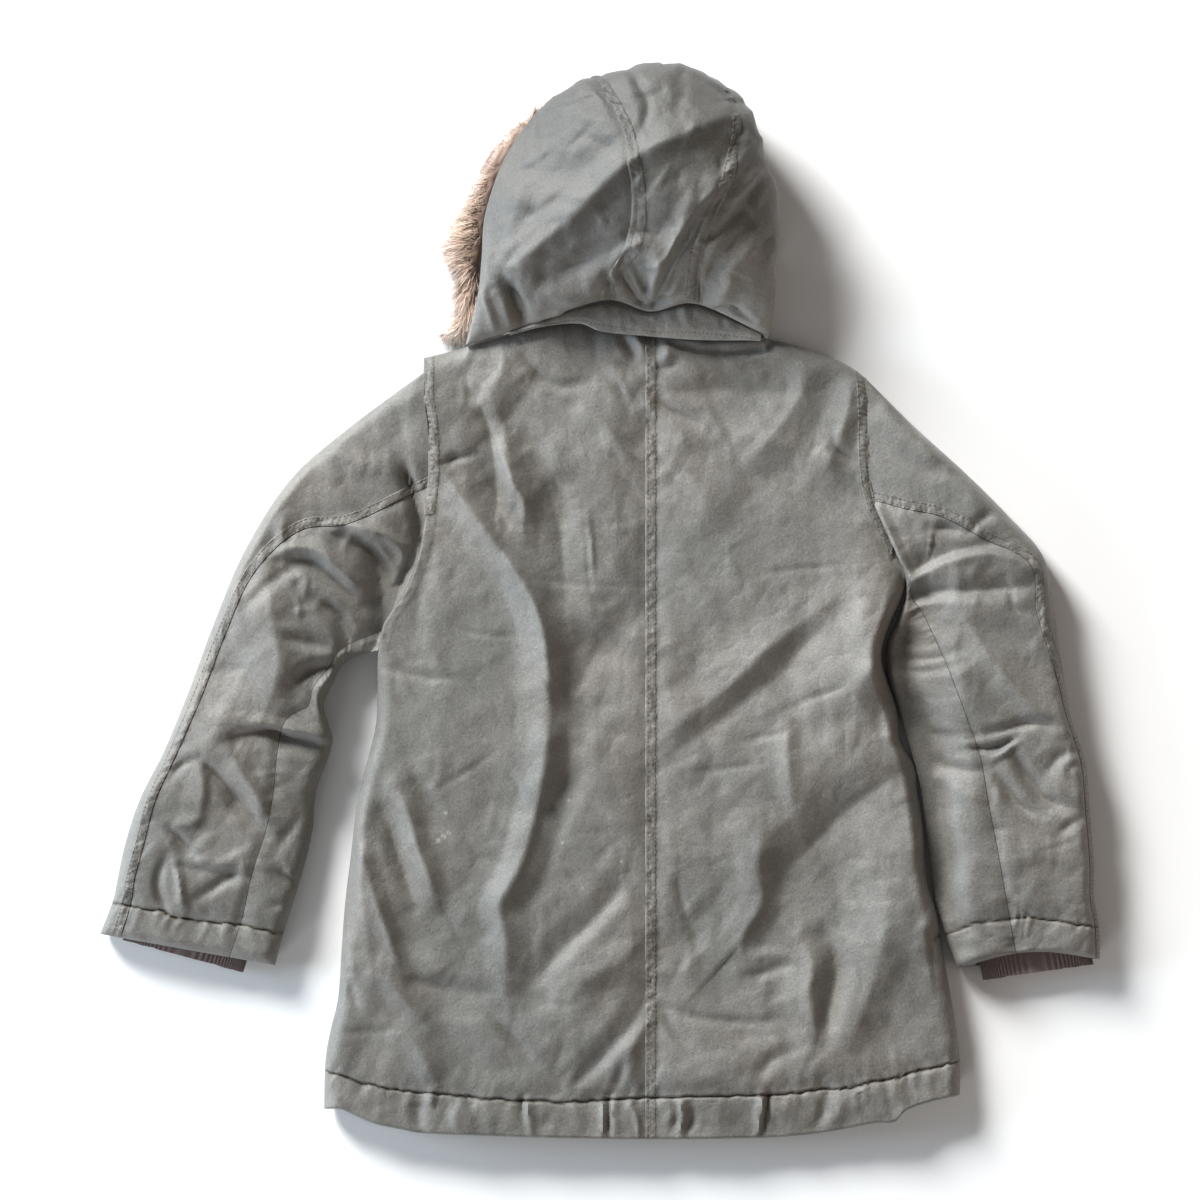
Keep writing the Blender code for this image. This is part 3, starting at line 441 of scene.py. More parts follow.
# Rows from the nape to the rim, each (x, y, z) of:
#   left rim, left side, left seam, crown, right seam, right side, right rim
HOOD = np.array((
    ((-107, 204, 28), (-62, 217, 30), (2, 239, 34), (40, 230, 34), (77, 236, 35),
     (131, 211, 30), (127, 211, 14)),
    ((-98, 243, 40), (-50, 251, 56), (5, 256, 60), (40, 251, 58), (78, 255, 62),
     (136, 243, 45), (126, 243, 14)),
    ((-95, 272, 45), (-42, 285, 68), (22, 283, 80), (55, 284, 82), (84, 285, 84),
     (138, 275, 55), (128, 273, 14)),
    ((-92, 309, 46), (-32, 325, 76), (27, 325, 92), (64, 327, 96), (101, 328, 90),
     (141, 325, 55), (130, 322, 14)),
    ((-77, 353, 43), (-28, 364, 74), (20, 370, 90), (65, 374, 92), (110, 368, 82),
     (129, 359, 55), (119, 355, 14)),
    ((-56, 385, 36), (-26, 398, 60), (3, 406, 72), (54, 411, 76), (103, 401, 62),
     (115, 390, 45), (106, 385, 14)),
    ((-46, 394, 26), (-22, 408, 38), (-6, 417, 46), (49, 426, 50), (96, 411, 44),
     (107, 399, 34), (101, 392, 14)),
    ((-42, 390, 14), (-20, 401, 14), (-4, 410, 14), (48, 418, 14), (92, 404, 14),
     (102, 395, 14), (97, 389, 14)),
), float)
HOOD_ROWS, HOOD_COLUMNS = (size - 1 for size in HOOD.shape[:2])
HOOD_PANELS = {"hood_left": (0, 2), "hood_centre": (2, 4), "hood_right": (4, 6)}
# (y, x) of the outermost hair tips on the side that shows, and where that side ends
FUR_REACH = (
    (200, -110), (205, -116), (211, -133), (217, -135), (223, -124), (234, -115), (244, -113),
    (256, -116), (264, -124), (271, -129), (281, -130), (291, -127), (305, -119), (325, -104),
    (345, -91), (362, -80), (372, -71), (382, -60), (394, -44),
)
FUR_SHOWS_BELOW = 394     # y
FUR_SHOWS_BEFORE = -30    # x
# (x, y) of the middle of the fur strip, half its width, its height, the way its hairs lie
# (degrees from +X) and their length
FUR = (
    (-123, 211, 7, 14, 205, 20), (-109, 219, 10, 21, 240, 24), (-102, 243, 12, 33, 255, 30),
    (-106, 262, 20, 37, 235, 30), (-106, 276, 23, 39, 190, 28), (-101, 292, 20, 39, 175, 26),
    (-98, 309, 19, 39, 180, 26), (-91, 331, 18, 38, 172, 24), (-79, 354, 16, 35, 165, 22),
    (-62, 373, 14, 27, 155, 20), (-42, 386, 13, 13.5, 120, 16), (-15, 394, 13, 14, 100, 15),
    (20, 404, 13, 15, 90, 15), (54, 408, 13, 15.5, 80, 15), (84, 398, 13, 14, 60, 15),
    (101, 381, 13, 14, 40, 15), (111, 356, 13, 14, 20, 15), (119, 322, 13, 14, 0, 15),
    (117, 278, 13, 14, -10, 15), (115, 245, 12, 14, -20, 15), (114, 222, 10, 13, -30, 14),
)
FUR_ROWS = len(FUR) - 1
FUR_TOP = 39              # the strip's greatest height
WOOL_SHARE = 0.62         # size of the wool core against the whole strip
ROOT_SHARE = 0.58         # the same where the hairs are rooted


# ---------------------------------------------------------------- small tools
def mix(a, b, share):
    """The value a share of the way from a to b."""
    return a + (b - a) * share


def ease(t):
    """0 to 1 with a soft start and end."""
    t = np.clip(t, 0, 1)
    return t * t * (3 - 2 * t)


def hermite(before, start, end, after, share, widths):
    """Smooth value between start and end; widths are the three key steps around them."""
    slope_in = (end - before) / (widths[0] + widths[1])
    slope_out = (after - start) / (widths[1] + widths[2])
    a = share * share * (3 - 2 * share)
    b = share * (1 - share) ** 2 * widths[1]
    c = -share * share * (1 - share) * widths[1]
    return start + (end - start) * a + slope_in * b + slope_out * c


def read(table, key):
    """Values at the keys on the smooth curve through a table of (key, value)."""
    keys, values = np.array(table, float).T
    last = len(keys) - 1
    n = np.clip(np.searchsorted(keys, key), 1, last)
    rows = [np.clip(n + step, 0, last) for step in (-2, -1, 0, 1)]
    widths = [keys[rows[k + 1]] - keys[rows[k]] for k in range(3)]
    share = np.clip((key - keys[rows[1]]) / widths[1], 0, 1)
    return hermite(*(values[row] for row in rows), share, widths)


def shares(count, place):
    """How much each of a table's rows counts at each place, on a smooth curve."""
    place = np.ravel(place).astype(float)
    n = np.clip(np.floor(place).astype(int), 0, count - 2)
    t = place - n
    rise = t * t * (3 - 2 * t)
    leave = t * (1 - t) ** 2 / np.where(n > 0, 2, 1)
    arrive = -t * t * (1 - t) / np.where(n < count - 2, 2, 1)
    table = np.zeros((len(place), count))
    index = np.arange(len(place))
    for step, part in ((-1, -leave), (0, 1 - rise - arrive), (1, rise + leave), (2, arrive)):
        np.add.at(table, (index, np.clip(n + step, 0, count - 1)), part)
    return table


def section(table, place):
    """Columns of a table at each place, counted in rows."""
    table = np.array(table, float)
    values = shares(len(table), place) @ table
    return np.moveaxis(values.reshape(*np.shape(place), table.shape[1]), -1, 0)


def rounding(distance, roll):
    """0 at an edge to 1 a roll's width away, along a quarter of an ellipse."""
    return np.sqrt(1.0 - (1.0 - np.clip(distance / roll, 0, 1)) ** 2)


def dip(distance, width):
    """1 on a line, falling softly to 0 a few widths away."""
    return np.exp(-(distance / width) ** 2)


def spaced(length, cell, closer=()):
    """Shares from 0 to 1 about a cell apart, and closer near each (place, width, times)."""
    share = np.linspace(0, 1, 2001)
    dense = np.ones(len(share))
    for place, width, times in closer:
        dense += times * dip(share * length - place, width)
    cells = np.concatenate([[0], np.cumsum((dense[1:] + dense[:-1]) / 2)])
    cells *= length / (len(share) - 1) / cell
    count = max(1, round(float(cells[-1])))
    return np.interp(np.linspace(0, cells[-1], count + 1), cells, share)


def ripple(x, y, cell, seed):
    """Smooth uneven waves between -1 and 1, about two cells from crest to crest."""
    knots = np.random.default_rng(seed).uniform(-1, 1, (REPEAT, REPEAT))
    u, v = np.broadcast_arrays(np.asarray(x) / cell, np.asarray(y) / cell)
    i, j = np.floor(u).astype(int), np.floor(v).astype(int)
    s, t = ease(u - i), ease(v - j)
    near, far = (mix(knots[i % REPEAT, row % REPEAT], knots[(i + 1) % REPEAT, row % REPEAT], s)
                 for row in (j, j + 1))
    return mix(near, far, t)


def cells(x, y, size, seed):
    """0 on the borders of uneven cells to about 0.5 in their middles."""
    spots = np.random.default_rng(seed).uniform(0.05, 0.95, (REPEAT, REPEAT, 2))
    u, v = x / size, y / size
    i, j = np.floor(u).astype(int), np.floor(v).astype(int)
    first, second = np.full(u.shape, 9.0), np.full(u.shape, 9.0)
    for di in (-1, 0, 1):
        for dj in (-1, 0, 1):
            spot = spots[(i + di) % REPEAT, (j + dj) % REPEAT]
            gap = np.hypot(i + di + spot[..., 0] - u, j + dj + spot[..., 1] - v)
            second = np.minimum(second, np.maximum(first, gap))
            first = np.minimum(first, gap)
    return np.minimum(second - first, 0.6)


def facets(x, y, cell, seed):
    """Flat facets between uneven corners, with a sharp crease wherever two of them meet."""
    corner = np.random.default_rng(seed).uniform(-1, 1, (REPEAT, REPEAT))
    v = y / cell + 0.5 * ripple(x, y, cell * 1.1, seed + 1)
    u = x / cell + 0.5 * ripple(x, y, cell * 1.2, seed + 2) + 0.5 * v
    i, j = np.floor(u).astype(int), np.floor(v).astype(int)
    s, t = u - i, v - j
    i, j, next_i, next_j = (index % REPEAT for index in (i, j, i + 1, j + 1))
    near, far = corner[i, j], corner[next_i, next_j]
    side = np.where(s > t, corner[next_i, j], corner[i, next_j])
    return near + (side - near) * np.maximum(s, t) + (far - side) * np.minimum(s, t)


def turned(x, y, angle):
    """Points of the plan, turned by an angle."""
    return x * math.cos(angle) + y * math.sin(angle), y * math.cos(angle) - x * math.sin(angle)


def crumple(x, y):
    """Small uneven creases of much-used, coated cloth."""
    x, y = np.broadcast_arrays(x, y)
    total = 0.0
    for cell, height, turn, seed in FACETS:
        u, v = turned(x, y, turn)
        busy = 0.55 + 0.45 * ripple(u, v, 60.0, seed + 5)
        total = total + height * busy * facets(u, 0.6 * v, cell, seed)
    for cell, height, turn, seed in CRUMPLE:
        u, v = turned(x, y, turn)
        wave = ripple(u, 0.6 * v, cell, seed)
        busy = 0.45 + 0.75 * (1 + ripple(u, v, 70.0, seed + 1)) / 2
        total = total + height * busy * (0.5 - np.sqrt(wave * wave + 0.004))
    for size, height, turn, seed in CREASES:
        u, v = turned(x, y, turn)
        u = u + 0.3 * size * ripple(x, y, size * 0.7, seed)
        busy = ease(0.5 + 0.9 * ripple(u, v, 80.0, seed + 1))
        total = total + height * busy * (0.3 - cells(u, 0.55 * v, size, seed + 2))
    return total


def smooth_line(points, pieces=6):
    """Points on a smooth line through a few."""
    points = np.array(points, float)
    count = pieces * (len(points) - 1) + 1
    return shares(len(points), np.linspace(0, len(points) - 1, count)) @ points


def from_line(x, y, line):
    """Distance from a line, positive on its left hand, and the share of it passed."""
    start, step = line[:-1], np.diff(line, axis=0)
    rx, ry = x[..., None] - start[:, 0], y[..., None] - start[:, 1]
    size = (step ** 2).sum(1)
    t = np.clip((rx * step[:, 0] + ry * step[:, 1]) / size, 0, 1)
    gap = np.hypot(rx - t * step[:, 0], ry - t * step[:, 1])
    hand = np.sign(step[:, 0] * ry - step[:, 1] * rx)
    best = gap.argmin(-1)[..., None]
    away = np.take_along_axis(gap * hand, best, -1)[..., 0]
    share = (best + np.take_along_axis(t, best, -1))[..., 0] / len(step)
    return away, share


def close_to(x, y, line, reach):
    """Which points lie in the box round a line, widened by a reach."""
    low, high = line.min(0) - reach, line.max(0) + reach
    return (x > low[0]) & (x < high[0]) & (y > low[1]) & (y < high[1])


def worn_creases(box, count, seed):
    """Short, nearly straight creases with one steep side, strewn over a box of the plan."""
    draw = np.random.default_rng(seed)
    rows = []
    for _ in range(count):
        middle = np.array((draw.uniform(*box[0]), draw.uniform(*box[1])))
        turn = math.radians(draw.choice((55, 105, -20)) + draw.normal(0, 28))
        half = draw.uniform(8, 38) / 2
        way = np.array((math.cos(turn), math.sin(turn)))
        bow = np.array((-way[1], way[0])) * draw.normal(0, 0.12) * half
        height = draw.uniform(0.35, 1.0) * draw.choice((-1, 1)) * (0.5 + half / 30)
        points = (middle - way * half, middle + bow, middle + way * half)
        rows.append((height, draw.uniform(2, 5), draw.uniform(6, 18), 0.4, *points))
    return rows


def folds_at(x, y, folds, times=1.0, wider=1.0):
    """Height that folds add over points of the plan."""
    total = np.zeros(np.shape(x))
    for height, left, right, crest, *points in folds:
        line = smooth_line(points)
        left, right = left * wider, right * wider
        near = close_to(x, y, line, max(left, right) + crest)
        if not near.any():
            continue
        away, share = from_line(x[near], y[near], line)
        slope = np.sqrt(away ** 2 + (0.5 * crest) ** 2) - 0.5 * crest
        fall = np.clip(1 - slope / np.where(away > 0, left, right), 0, 1)
        ends = np.sin(np.pi * np.clip(share, 0.06, 0.94)) ** 0.6
        total[near] += times * height * ends * fall ** FOLD_ROUND
    return total


# Creases of wear in boxes of the plan's x and y: how many, and their seed
BODY_CREASES = worn_creases(((-220, 290), (-430, 225)), 420, 101)
SLEEVE_CREASES = (worn_creases(((-400, -130), (-290, 180)), 230, 102)
                  + worn_creases(((220, 400), (-290, 180)), 230, 103))
HOOD_CREASES = worn_creases(((-110, 150), (220, 430)), 260, 104)
GROOVES = [smooth_line(HEM_GROOVE)] + [smooth_line(groove) for groove in CUFF_GROOVES]


def groove_at(x, y):
    """Height of the stitched hem and cuff grooves with their puckers, and the painted shade
    along each groove's line.
    """
    height, painted_shade = np.zeros(np.shape(x)), np.zeros(np.shape(x))
    for line in GROOVES:
        near = close_to(x, y, line, 40.0)
        if not near.any():
            continue
        away, share = from_line(x[near], y[near], line)
        along = share * np.hypot(*np.diff(line, axis=0).T).sum()
        # the groove wavers, and the cloth beside it is gathered in puckers
        away = away + 0.8 * ripple(along, away * 0.2, 3.2, 21) + 0.6 * ripple(along, 0, 9.0, 22)
        pucker = 1.2 * facets(along + 0.25 * away, away * 0.3, 9.0, 23)
        pucker += 0.6 * ripple(along - 0.3 * away, away * 0.2, 3.4, 24)
        edge = -1.8 * dip(away, 1.2) - 1.6 * dip(away - 2.0, 8.0)
        height[near] += edge + 1.5 * pucker * np.exp(-np.abs(away + 4) / 13)
        # painted shade: the cloth is darkened along the groove's line
        painted_shade[near] += dip(away, 0.9 + 0.4 * ripple(along, 0, 2.0, 25))
    return height, np.clip(painted_shade, 0, 1)


def cloth_top(base, x, y, creases, folds, drape):
    """Height of creased and folded cloth with its stitched grooves, over a smooth base."""
    return (base + folds_at(x, y, creases) + folds_at(x, y, folds, *drape) + crumple(x, y)
            + groove_at(x, y)[0])


def strip(away, along):
    """Relief beside a felled seam: a low step and the puckers that the stitches pull."""
    on = ease(away / 1.2) * ease((STRIP + 1.0 - away) / 1.5)
    beside = np.exp(-np.abs(away - STRIP / 2) / 9.0)
    pull = ripple(along + 0.8 * away, away * 0.3, 8.0, 33)
    pull = pull + 0.7 * ripple(along - 0.5 * away, away * 0.3, 4.5, 34)
    return on * STRIP_RISE + 0.8 * pull * beside


def seam_strip(name, cloth, spot, length, seed):
    """The sewn strip over a seam; spot(offset, share) is a point of the cloth beside it."""
    def skin(a, b, drop):
        away, run = mix(-STRIP_LAP, STRIP, a), b * length
        x, y, z = spot(away, b)[:3]
        ladder = np.sin(2 * math.pi * (run + 0.5 * away + ripple(run, 0, 11, seed)) / 4.4)
        crimp = ripple(run + 0.5 * away, away, 2.0, seed + 1)
        crimp = crimp + 0.5 * ladder * (0.6 + ripple(run, 0, 25, seed + 2))
        crimp = crimp * ease((away + 0.6) / 1.5)
        rows = dip(away - STITCH_INSET, 0.5) + dip(away - STRIP + STITCH_INSET, 0.6)
        edges = dip(away + STRIP_LAP, 0.3) + dip(away - STRIP, 0.5)
        rise = 0.6 + 0.34 * crimp - 0.35 * rows - 0.9 * edges
        # Painted shade: darker at the strip's edges, along its stitch rows and in its pucker
        # troughs, with a faint brown tint over the whole strip
        strip_shade_paint = 0.02 + 0.06 * edges + 0.16 * rows - 0.10 * crimp
        return x, y, z + np.maximum(rise, -0.3) - drop, np.clip(strip_shade_paint, 0.05, 0.7)

    return wall(name, cloth, np.linspace(0, 1, 13), np.linspace(0, 1, int(length / 0.9)),
                lambda a, b: skin(a, b, 0.0), lambda a, b: skin(a, b, STRIP_WALL)[:3])


# ---------------------------------------------------------------- mesh tools
def link(name, mesh):
    """A new object in the scene for a mesh, a lamp or a camera."""
    piece = bpy.data.objects.new(name, mesh)
    bpy.context.scene.collection.objects.link(piece)
    return piece


def new_mesh(name, bm):
    """A mesh from a bmesh, which is used up."""
    mesh = bpy.data.meshes.new(name)
    bm.to_mesh(mesh)
    bm.free()
    return mesh


def finished(name, mesh, finish):
    """A piece of one finish."""
    mesh.name = name
    mesh.materials.clear()
    mesh.materials.append(finish)
    return link(name, mesh)


def get_points(mesh):
    """The mesh's points, one to a row."""
    flat = np.empty(len(mesh.vertices) * 3)
    mesh.vertices.foreach_get("co", flat)
    return flat.reshape(-1, 3)


def set_points(mesh, points):
    """Move the mesh's points."""
    mesh.vertices.foreach_set("co", np.asarray(points, float).ravel())
    mesh.update()


def set_cloth_map(mesh, u, v):
    """A UV map in metres along the cloth, from values at the mesh's points."""
    corners = np.empty(len(mesh.loops), int)
    mesh.loops.foreach_get("vertex_index", corners)
    layer = mesh.uv_layers.new(name="cloth")
    layer.data.foreach_set("uv", np.column_stack([u[corners], v[corners]]).ravel())


def signed_volume(mesh, points):
    """Volume inside the mesh with its points there, negative if its faces point inwards."""
    mesh.calc_loop_triangles()
    corners = np.empty(len(mesh.loop_triangles) * 3, int)
    mesh.loop_triangles.foreach_get("vertices", corners)
    a, b, c = points[corners].reshape(-1, 3, 3).transpose(1, 0, 2)
    return (np.cross(a, b) * c).sum()


def wall(name, finish, across, along, outer, inner):
    """A closed wall: a grid bent to outer(a, b), and the same grid at inner(a, b).

    outer may give a fourth value, how much painted shade darkens the cloth there.
    """
    columns, rows = len(across) - 1, len(along) - 1
    bm = bmesh.new()
    bmesh.ops.create_grid(bm, x_segments=columns, y_segments=rows, size=0.5)
    lifted = bmesh.ops.extrude_face_region(bm, geom=bm.faces[:])["geom"]
    lifted = [item for item in lifted if isinstance(item, bmesh.types.BMVert)]
    bmesh.ops.translate(bm, verts=lifted, vec=(0, 0, 1))
    bmesh.ops.recalc_face_normals(bm, faces=bm.faces)
    mesh = new_mesh(name, bm)
    flat = get_points(mesh)
    i = np.rint((flat[:, 0] + 0.5) * columns).astype(int)
    j = np.rint((flat[:, 1] + 0.5) * rows).astype(int)
    is_outer = flat[:, 2] > 0.5
    a, b = np.meshgrid(across, along)
    made = [np.broadcast_arrays(*skin(a, b)) for skin in (inner, outer)]
    skins = [np.stack(skin[:3], -1) for skin in made]
    place = np.where(is_outer[:, None], skins[1][j, i], skins[0][j, i]) * MM
    if signed_volume(mesh, place) < 0:
        mesh.flip_normals()
    set_points(mesh, place)
    steps = [np.linalg.norm(np.diff(skins[1], axis=k), axis=-1) * MM for k in (1, 0)]
    u = np.pad(np.cumsum(steps[0], 1), ((0, 0), (1, 0)))
    v = np.pad(np.cumsum(steps[1], 0), ((1, 0), (0, 0)))
    set_cloth_map(mesh, u[j, i], v[j, i])
    # how much painted shade darkens the cloth: along the grooves, or as outer's fourth value
    shade_paint = groove_at(place[:, 0] / MM, place[:, 1] / MM)[1]
    if len(made[1]) > 3:
        shade_paint = np.maximum(shade_paint, made[1][3][j, i])
    painted_shade = mesh.attributes.new("painted_shade", "FLOAT", "POINT")
    painted_shade.data.foreach_set("value", np.clip(shade_paint, 0, 1))
    mesh.shade_smooth()
    mesh.set_sharp_from_angle(angle=math.radians(60))
    return finished(name, mesh, finish)


def copies(bm, count):
    """A mesh of many like shapes, one after another, and the points of the first."""
    mesh = new_mesh("one", bm)
    first = get_points(mesh)
    holder = link("one", mesh)
    many = holder.modifiers.new("many", "ARRAY")
    many.use_relative_offset = False
    many.count = count
    bpy.context.view_layer.update()
    made = holder.evaluated_get(bpy.context.evaluated_depsgraph_get())
    result = bpy.data.meshes.new_from_object(made)
    bpy.data.objects.remove(holder)
    bpy.data.meshes.remove(mesh)
    return result, first


# ---------------------------------------------------------------- finishes
class Finish:
    """A material being made: its shader, and short ways to add nodes and join them."""

    def __init__(self, name, colour, roughness, **values):
        self.material = bpy.data.materials.new(name)
        self.material.use_nodes = True
        self.tree = self.material.node_tree
        self.shader = self.tree.nodes["Principled BSDF"]
        self.shader.inputs["Base Color"].default_value = (*colour, 1)
        self.shader.inputs["Roughness"].default_value = roughness
        for key, value in values.items():
            self.shader.inputs[key.replace("_", " ")].default_value = value

    def add(self, kind, values=(), **settings):
        """A node with its settings; a value may be another node's output."""
        node = self.tree.nodes.new("ShaderNode" + kind)
        for key, value in settings.items():
            setattr(node, key, value)
        for key, value in dict(values).items():
            if isinstance(value, bpy.types.NodeSocket):
                self.tree.links.new(value, node.inputs[key])
            else:
                node.inputs[key].default_value = value
        return node

    def noise(self, at, scale, detail=3.0, rough=0.55):
        values = {"Vector": at, "Scale": scale, "Detail": detail, "Roughness": rough}
        return self.add("TexNoise", values).outputs["Fac"]

    def sum(self, kind, a, b, clamp=False):
        return self.add("Math", {0: a, 1: b}, operation=kind, use_clamp=clamp).outputs[0]

    def blend(self, share, a, b, kind="MIX"):
        node = self.add("Mix", {0: share, 6: a, 7: b}, data_type="RGBA", blend_type=kind)
        return node.outputs[2]

    def ramp(self, value, *stops):
        """Colours or greys along a value, as (place, colour)."""
        node = self.add("ValToRGB", {0: value})
        line = node.color_ramp.elements
        while len(line) < len(stops):
            line.new(0.5)
        for mark, (place, colour) in zip(line, stops):
            mark.position = place
            mark.color = (*colour, 1)
        return node.outputs[0]

    def bump(self, height, strength, depth, under=None):
        values = {"Height": height, "Strength": strength, "Distance": depth}
        if under is not None:
            values["Normal"] = under
        return self.add("Bump", values).outputs[0]

    def use(self, **links):
        """The material, with outputs joined to the shader's named inputs."""
        for key, value in links.items():
            self.tree.links.new(value, self.shader.inputs[key.replace("_", " ")])
        return self.material


def grey(value):
    """A colour without hue."""
    return (value, value, value)


def shell_cloth():
    """Coated olive-grey cotton and polyamide, creased and with pale marks; painted light and
    shade on the hood, and painted shade along the grooves and seam strips.
    """
    made = Finish("shell_cloth", (0.17, 0.162, 0.147), 0.58, Specular_IOR_Level=0.5,
                  Sheen_Weight=0.15, Sheen_Roughness=0.45, Sheen_Tint=(0.8, 0.85, 0.9, 1))
    place = made.add("TexCoord").outputs["Object"]
    cloth = made.add("UVMap", uv_map="cloth").outputs[0]
    broad = made.noise(place, 7.0, 3.0)
    fine = made.noise(place, 70.0, 4.0, 0.6)
    speck = made.noise(place, 650.0, 2.0)
    hue = made.ramp(broad, (0.35, (0.157, 0.153, 0.139)), (0.65, (0.193, 0.178, 0.158)))
    height = made.add("SeparateXYZ", {0: place}).outputs["Y"]
    # Lighter at the shoulders and a little darker towards the hem; over the hood it is darker,
    # which is painted shade
    hem_tone_and_hood_painted_shade = made.ramp(made.sum("ADD", height, 0.5), (0.1, grey(0.88)), (0.70, grey(1.0)),
                      (0.74, grey(0.76)))
    hue = made.blend(1.0, hue, hem_tone_and_hood_painted_shade, "MULTIPLY")
    # Painted light and shade on the hood, from its "shade" attribute: paler at its foot and
    # right, darker over its crown and left
    shade = made.add("Attribute", attribute_name="shade").outputs["Fac"]
    hue = made.blend(1.0, hue, made.sum("ADD", shade, 1.0), "MULTIPLY")
    tone = made.ramp(fine, (0.3, grey(0.88)), (0.7, grey(1.10)))
    hue = made.blend(1.0, hue, tone, "MULTIPLY")
    grain = made.ramp(speck, (0.3, grey(0.80)), (0.7, grey(1.20)))
    hue = made.blend(1.0, hue, grain, "MULTIPLY")
    flat = made.add("Mapping", {"Vector": place, "Scale": (1, 1, 0)}).outputs[0]
    spotted = 0.0
    for x, y, size in PALE_MARKS:
        away = made.add("VectorMath", {0: flat, 1: (x / 1000, y / 1000, 0)},
                        operation="DISTANCE").outputs["Value"]
        spot = made.sum("SUBTRACT", 1.3, made.sum("MULTIPLY", away, 1300 / size), True)
        spotted = made.sum("MAXIMUM", spotted, spot)
    ragged = made.ramp(made.noise(place, 700.0, 2.0), (0.4, grey(0.1)), (0.55, grey(1.0)))
    hue = made.blend(made.sum("MULTIPLY", spotted, ragged), hue, (0.37, 0.355, 0.32, 1))
    # Painted shade: darker and browner along the hem and cuff grooves, the seam strips' edges,
    # their stitch rows and the troughs of their puckers
    painted_shade = made.add("Attribute", attribute_name="painted_shade").outputs["Fac"]
    shade_paint = made.ramp(painted_shade, (0.0, (1, 1, 1)), (0.35, (0.70, 0.64, 0.57)),
                       (0.75, (0.30, 0.26, 0.23)), (1.0, (0.13, 0.12, 0.11)))
    hue = made.blend(1.0, hue, shade_paint, "MULTIPLY")
    gloss = made.ramp(fine, (0.3, grey(0.48)), (0.7, grey(0.60)))
    weave = []
    for turn in (0.0, math.pi / 2):
        turned = made.add("Mapping", {"Vector": cloth, "Rotation": (0, 0, turn)}).outputs[0]
        wave = made.add("TexWave", {"Vector": turned, "Scale": 420.0, "Distortion": 1.2,
                                    "Detail": 1.0, "Detail Scale": 2.0})
        weave.append(wave.outputs["Fac"])
    normal = made.bump(made.sum("ADD", weave[0], weave[1]), 0.2, 0.0004)
    normal = made.bump(made.noise(place, 420.0, 3.0, 0.6), 0.4, 0.0008, normal)
    for scale, depth in ((22.0, 0.005), (48.0, 0.0020), (120.0, 0.0006)):
        off = made.sum("SUBTRACT", made.noise(place, scale, 1.0, 0.4), 0.5)
        crease = made.sum("ABSOLUTE", off, 0.0)
        busy = made.ramp(made.noise(place, scale * 0.3), (0.4, grey(0.2)), (0.65, grey(1.0)))
        normal = made.bump(made.sum("MULTIPLY", crease, busy), 1.0, depth, normal)
    return made.use(Base_Color=hue, Roughness=gloss, Normal=normal)


def rib_knit():
    """Mauve-brown rib knit, napped."""
    made = Finish("rib_knit", (0.165, 0.122, 0.112), 0.95, Sheen_Weight=0.25,
                  Sheen_Roughness=0.6, Specular_IOR_Level=0.2)
    place = made.add("TexCoord").outputs["Object"]
    fuzz = made.noise(place, 900.0, 4.0, 0.7)
    hue = made.ramp(fuzz, (0.3, (0.125, 0.090, 0.084)), (0.7, (0.215, 0.165, 0.152)))
    normal = made.bump(fuzz, 0.5, 0.0008)
    return made.use(Base_Color=hue, Normal=normal)


def fur_finish(name, dark):
    """Long hair: U of its map is the hair's tone, V runs from root to tip."""
    made = Finish(name, (0.5, 0.36, 0.26), 0.55, Sheen_Weight=0.2, Sheen_Roughness=0.4,
                  Specular_IOR_Level=0.35)
    strand = made.add("SeparateXYZ", {0: made.add("UVMap", uv_map="cloth").outputs[0]})
    root, middle, tip = (0.38, 0.275, 0.195), (0.80, 0.62, 0.50), (1.0, 0.92, 0.84)
    if dark:
        tip = middle
    # darker towards the root: partly the fur's own colour, partly painted shade
    hue = made.ramp(strand.outputs["Y"], (0.0, root), (0.4, middle), (0.9, tip))
    tone = made.ramp(strand.outputs["X"], (0.0, (0.50, 0.44, 0.45)), (0.5, (0.97, 0.95, 0.93)),
                     (1.0, (1.15, 1.12, 1.06)))
    return made.use(Base_Color=made.blend(1.0, hue, tone, "MULTIPLY"))


def plain_finish(name, colour, roughness):
    """One colour with a little grain."""
    made = Finish(name, colour, roughness)
    place = made.add("TexCoord").outputs["Object"]
    grain = made.noise(place, 300.0, 3.0)
    low, high = ([channel * times for channel in colour] for times in (0.85, 1.15))
    hue = made.ramp(grain, (0.3, low), (0.7, high))
    return made.use(Base_Color=hue, Normal=made.bump(grain, 0.15, 0.0005))


# ---------------------------------------------------------------- back and fronts
def side_edge(side):
    """The outline on one side."""
    return SIDE_LEFT if side < 0 else SIDE_RIGHT


def half_plan(side, a, b, inset=0.0):
    """Plan of a body half: a from the centre to the side, b from hem to neck."""
    edge = side_edge(side)
    hem_y = read(HEM, mix(CENTRE_X, edge[0][1], a)) + inset
    neck_y = read(NECK, mix(CENTRE_X, edge[-1][1], a)) - inset
    side_x = read(edge, mix(edge[0][0], edge[-1][0], b)) - side * inset
    return mix(CENTRE_X, side_x, a), mix(hem_y, neck_y, b)


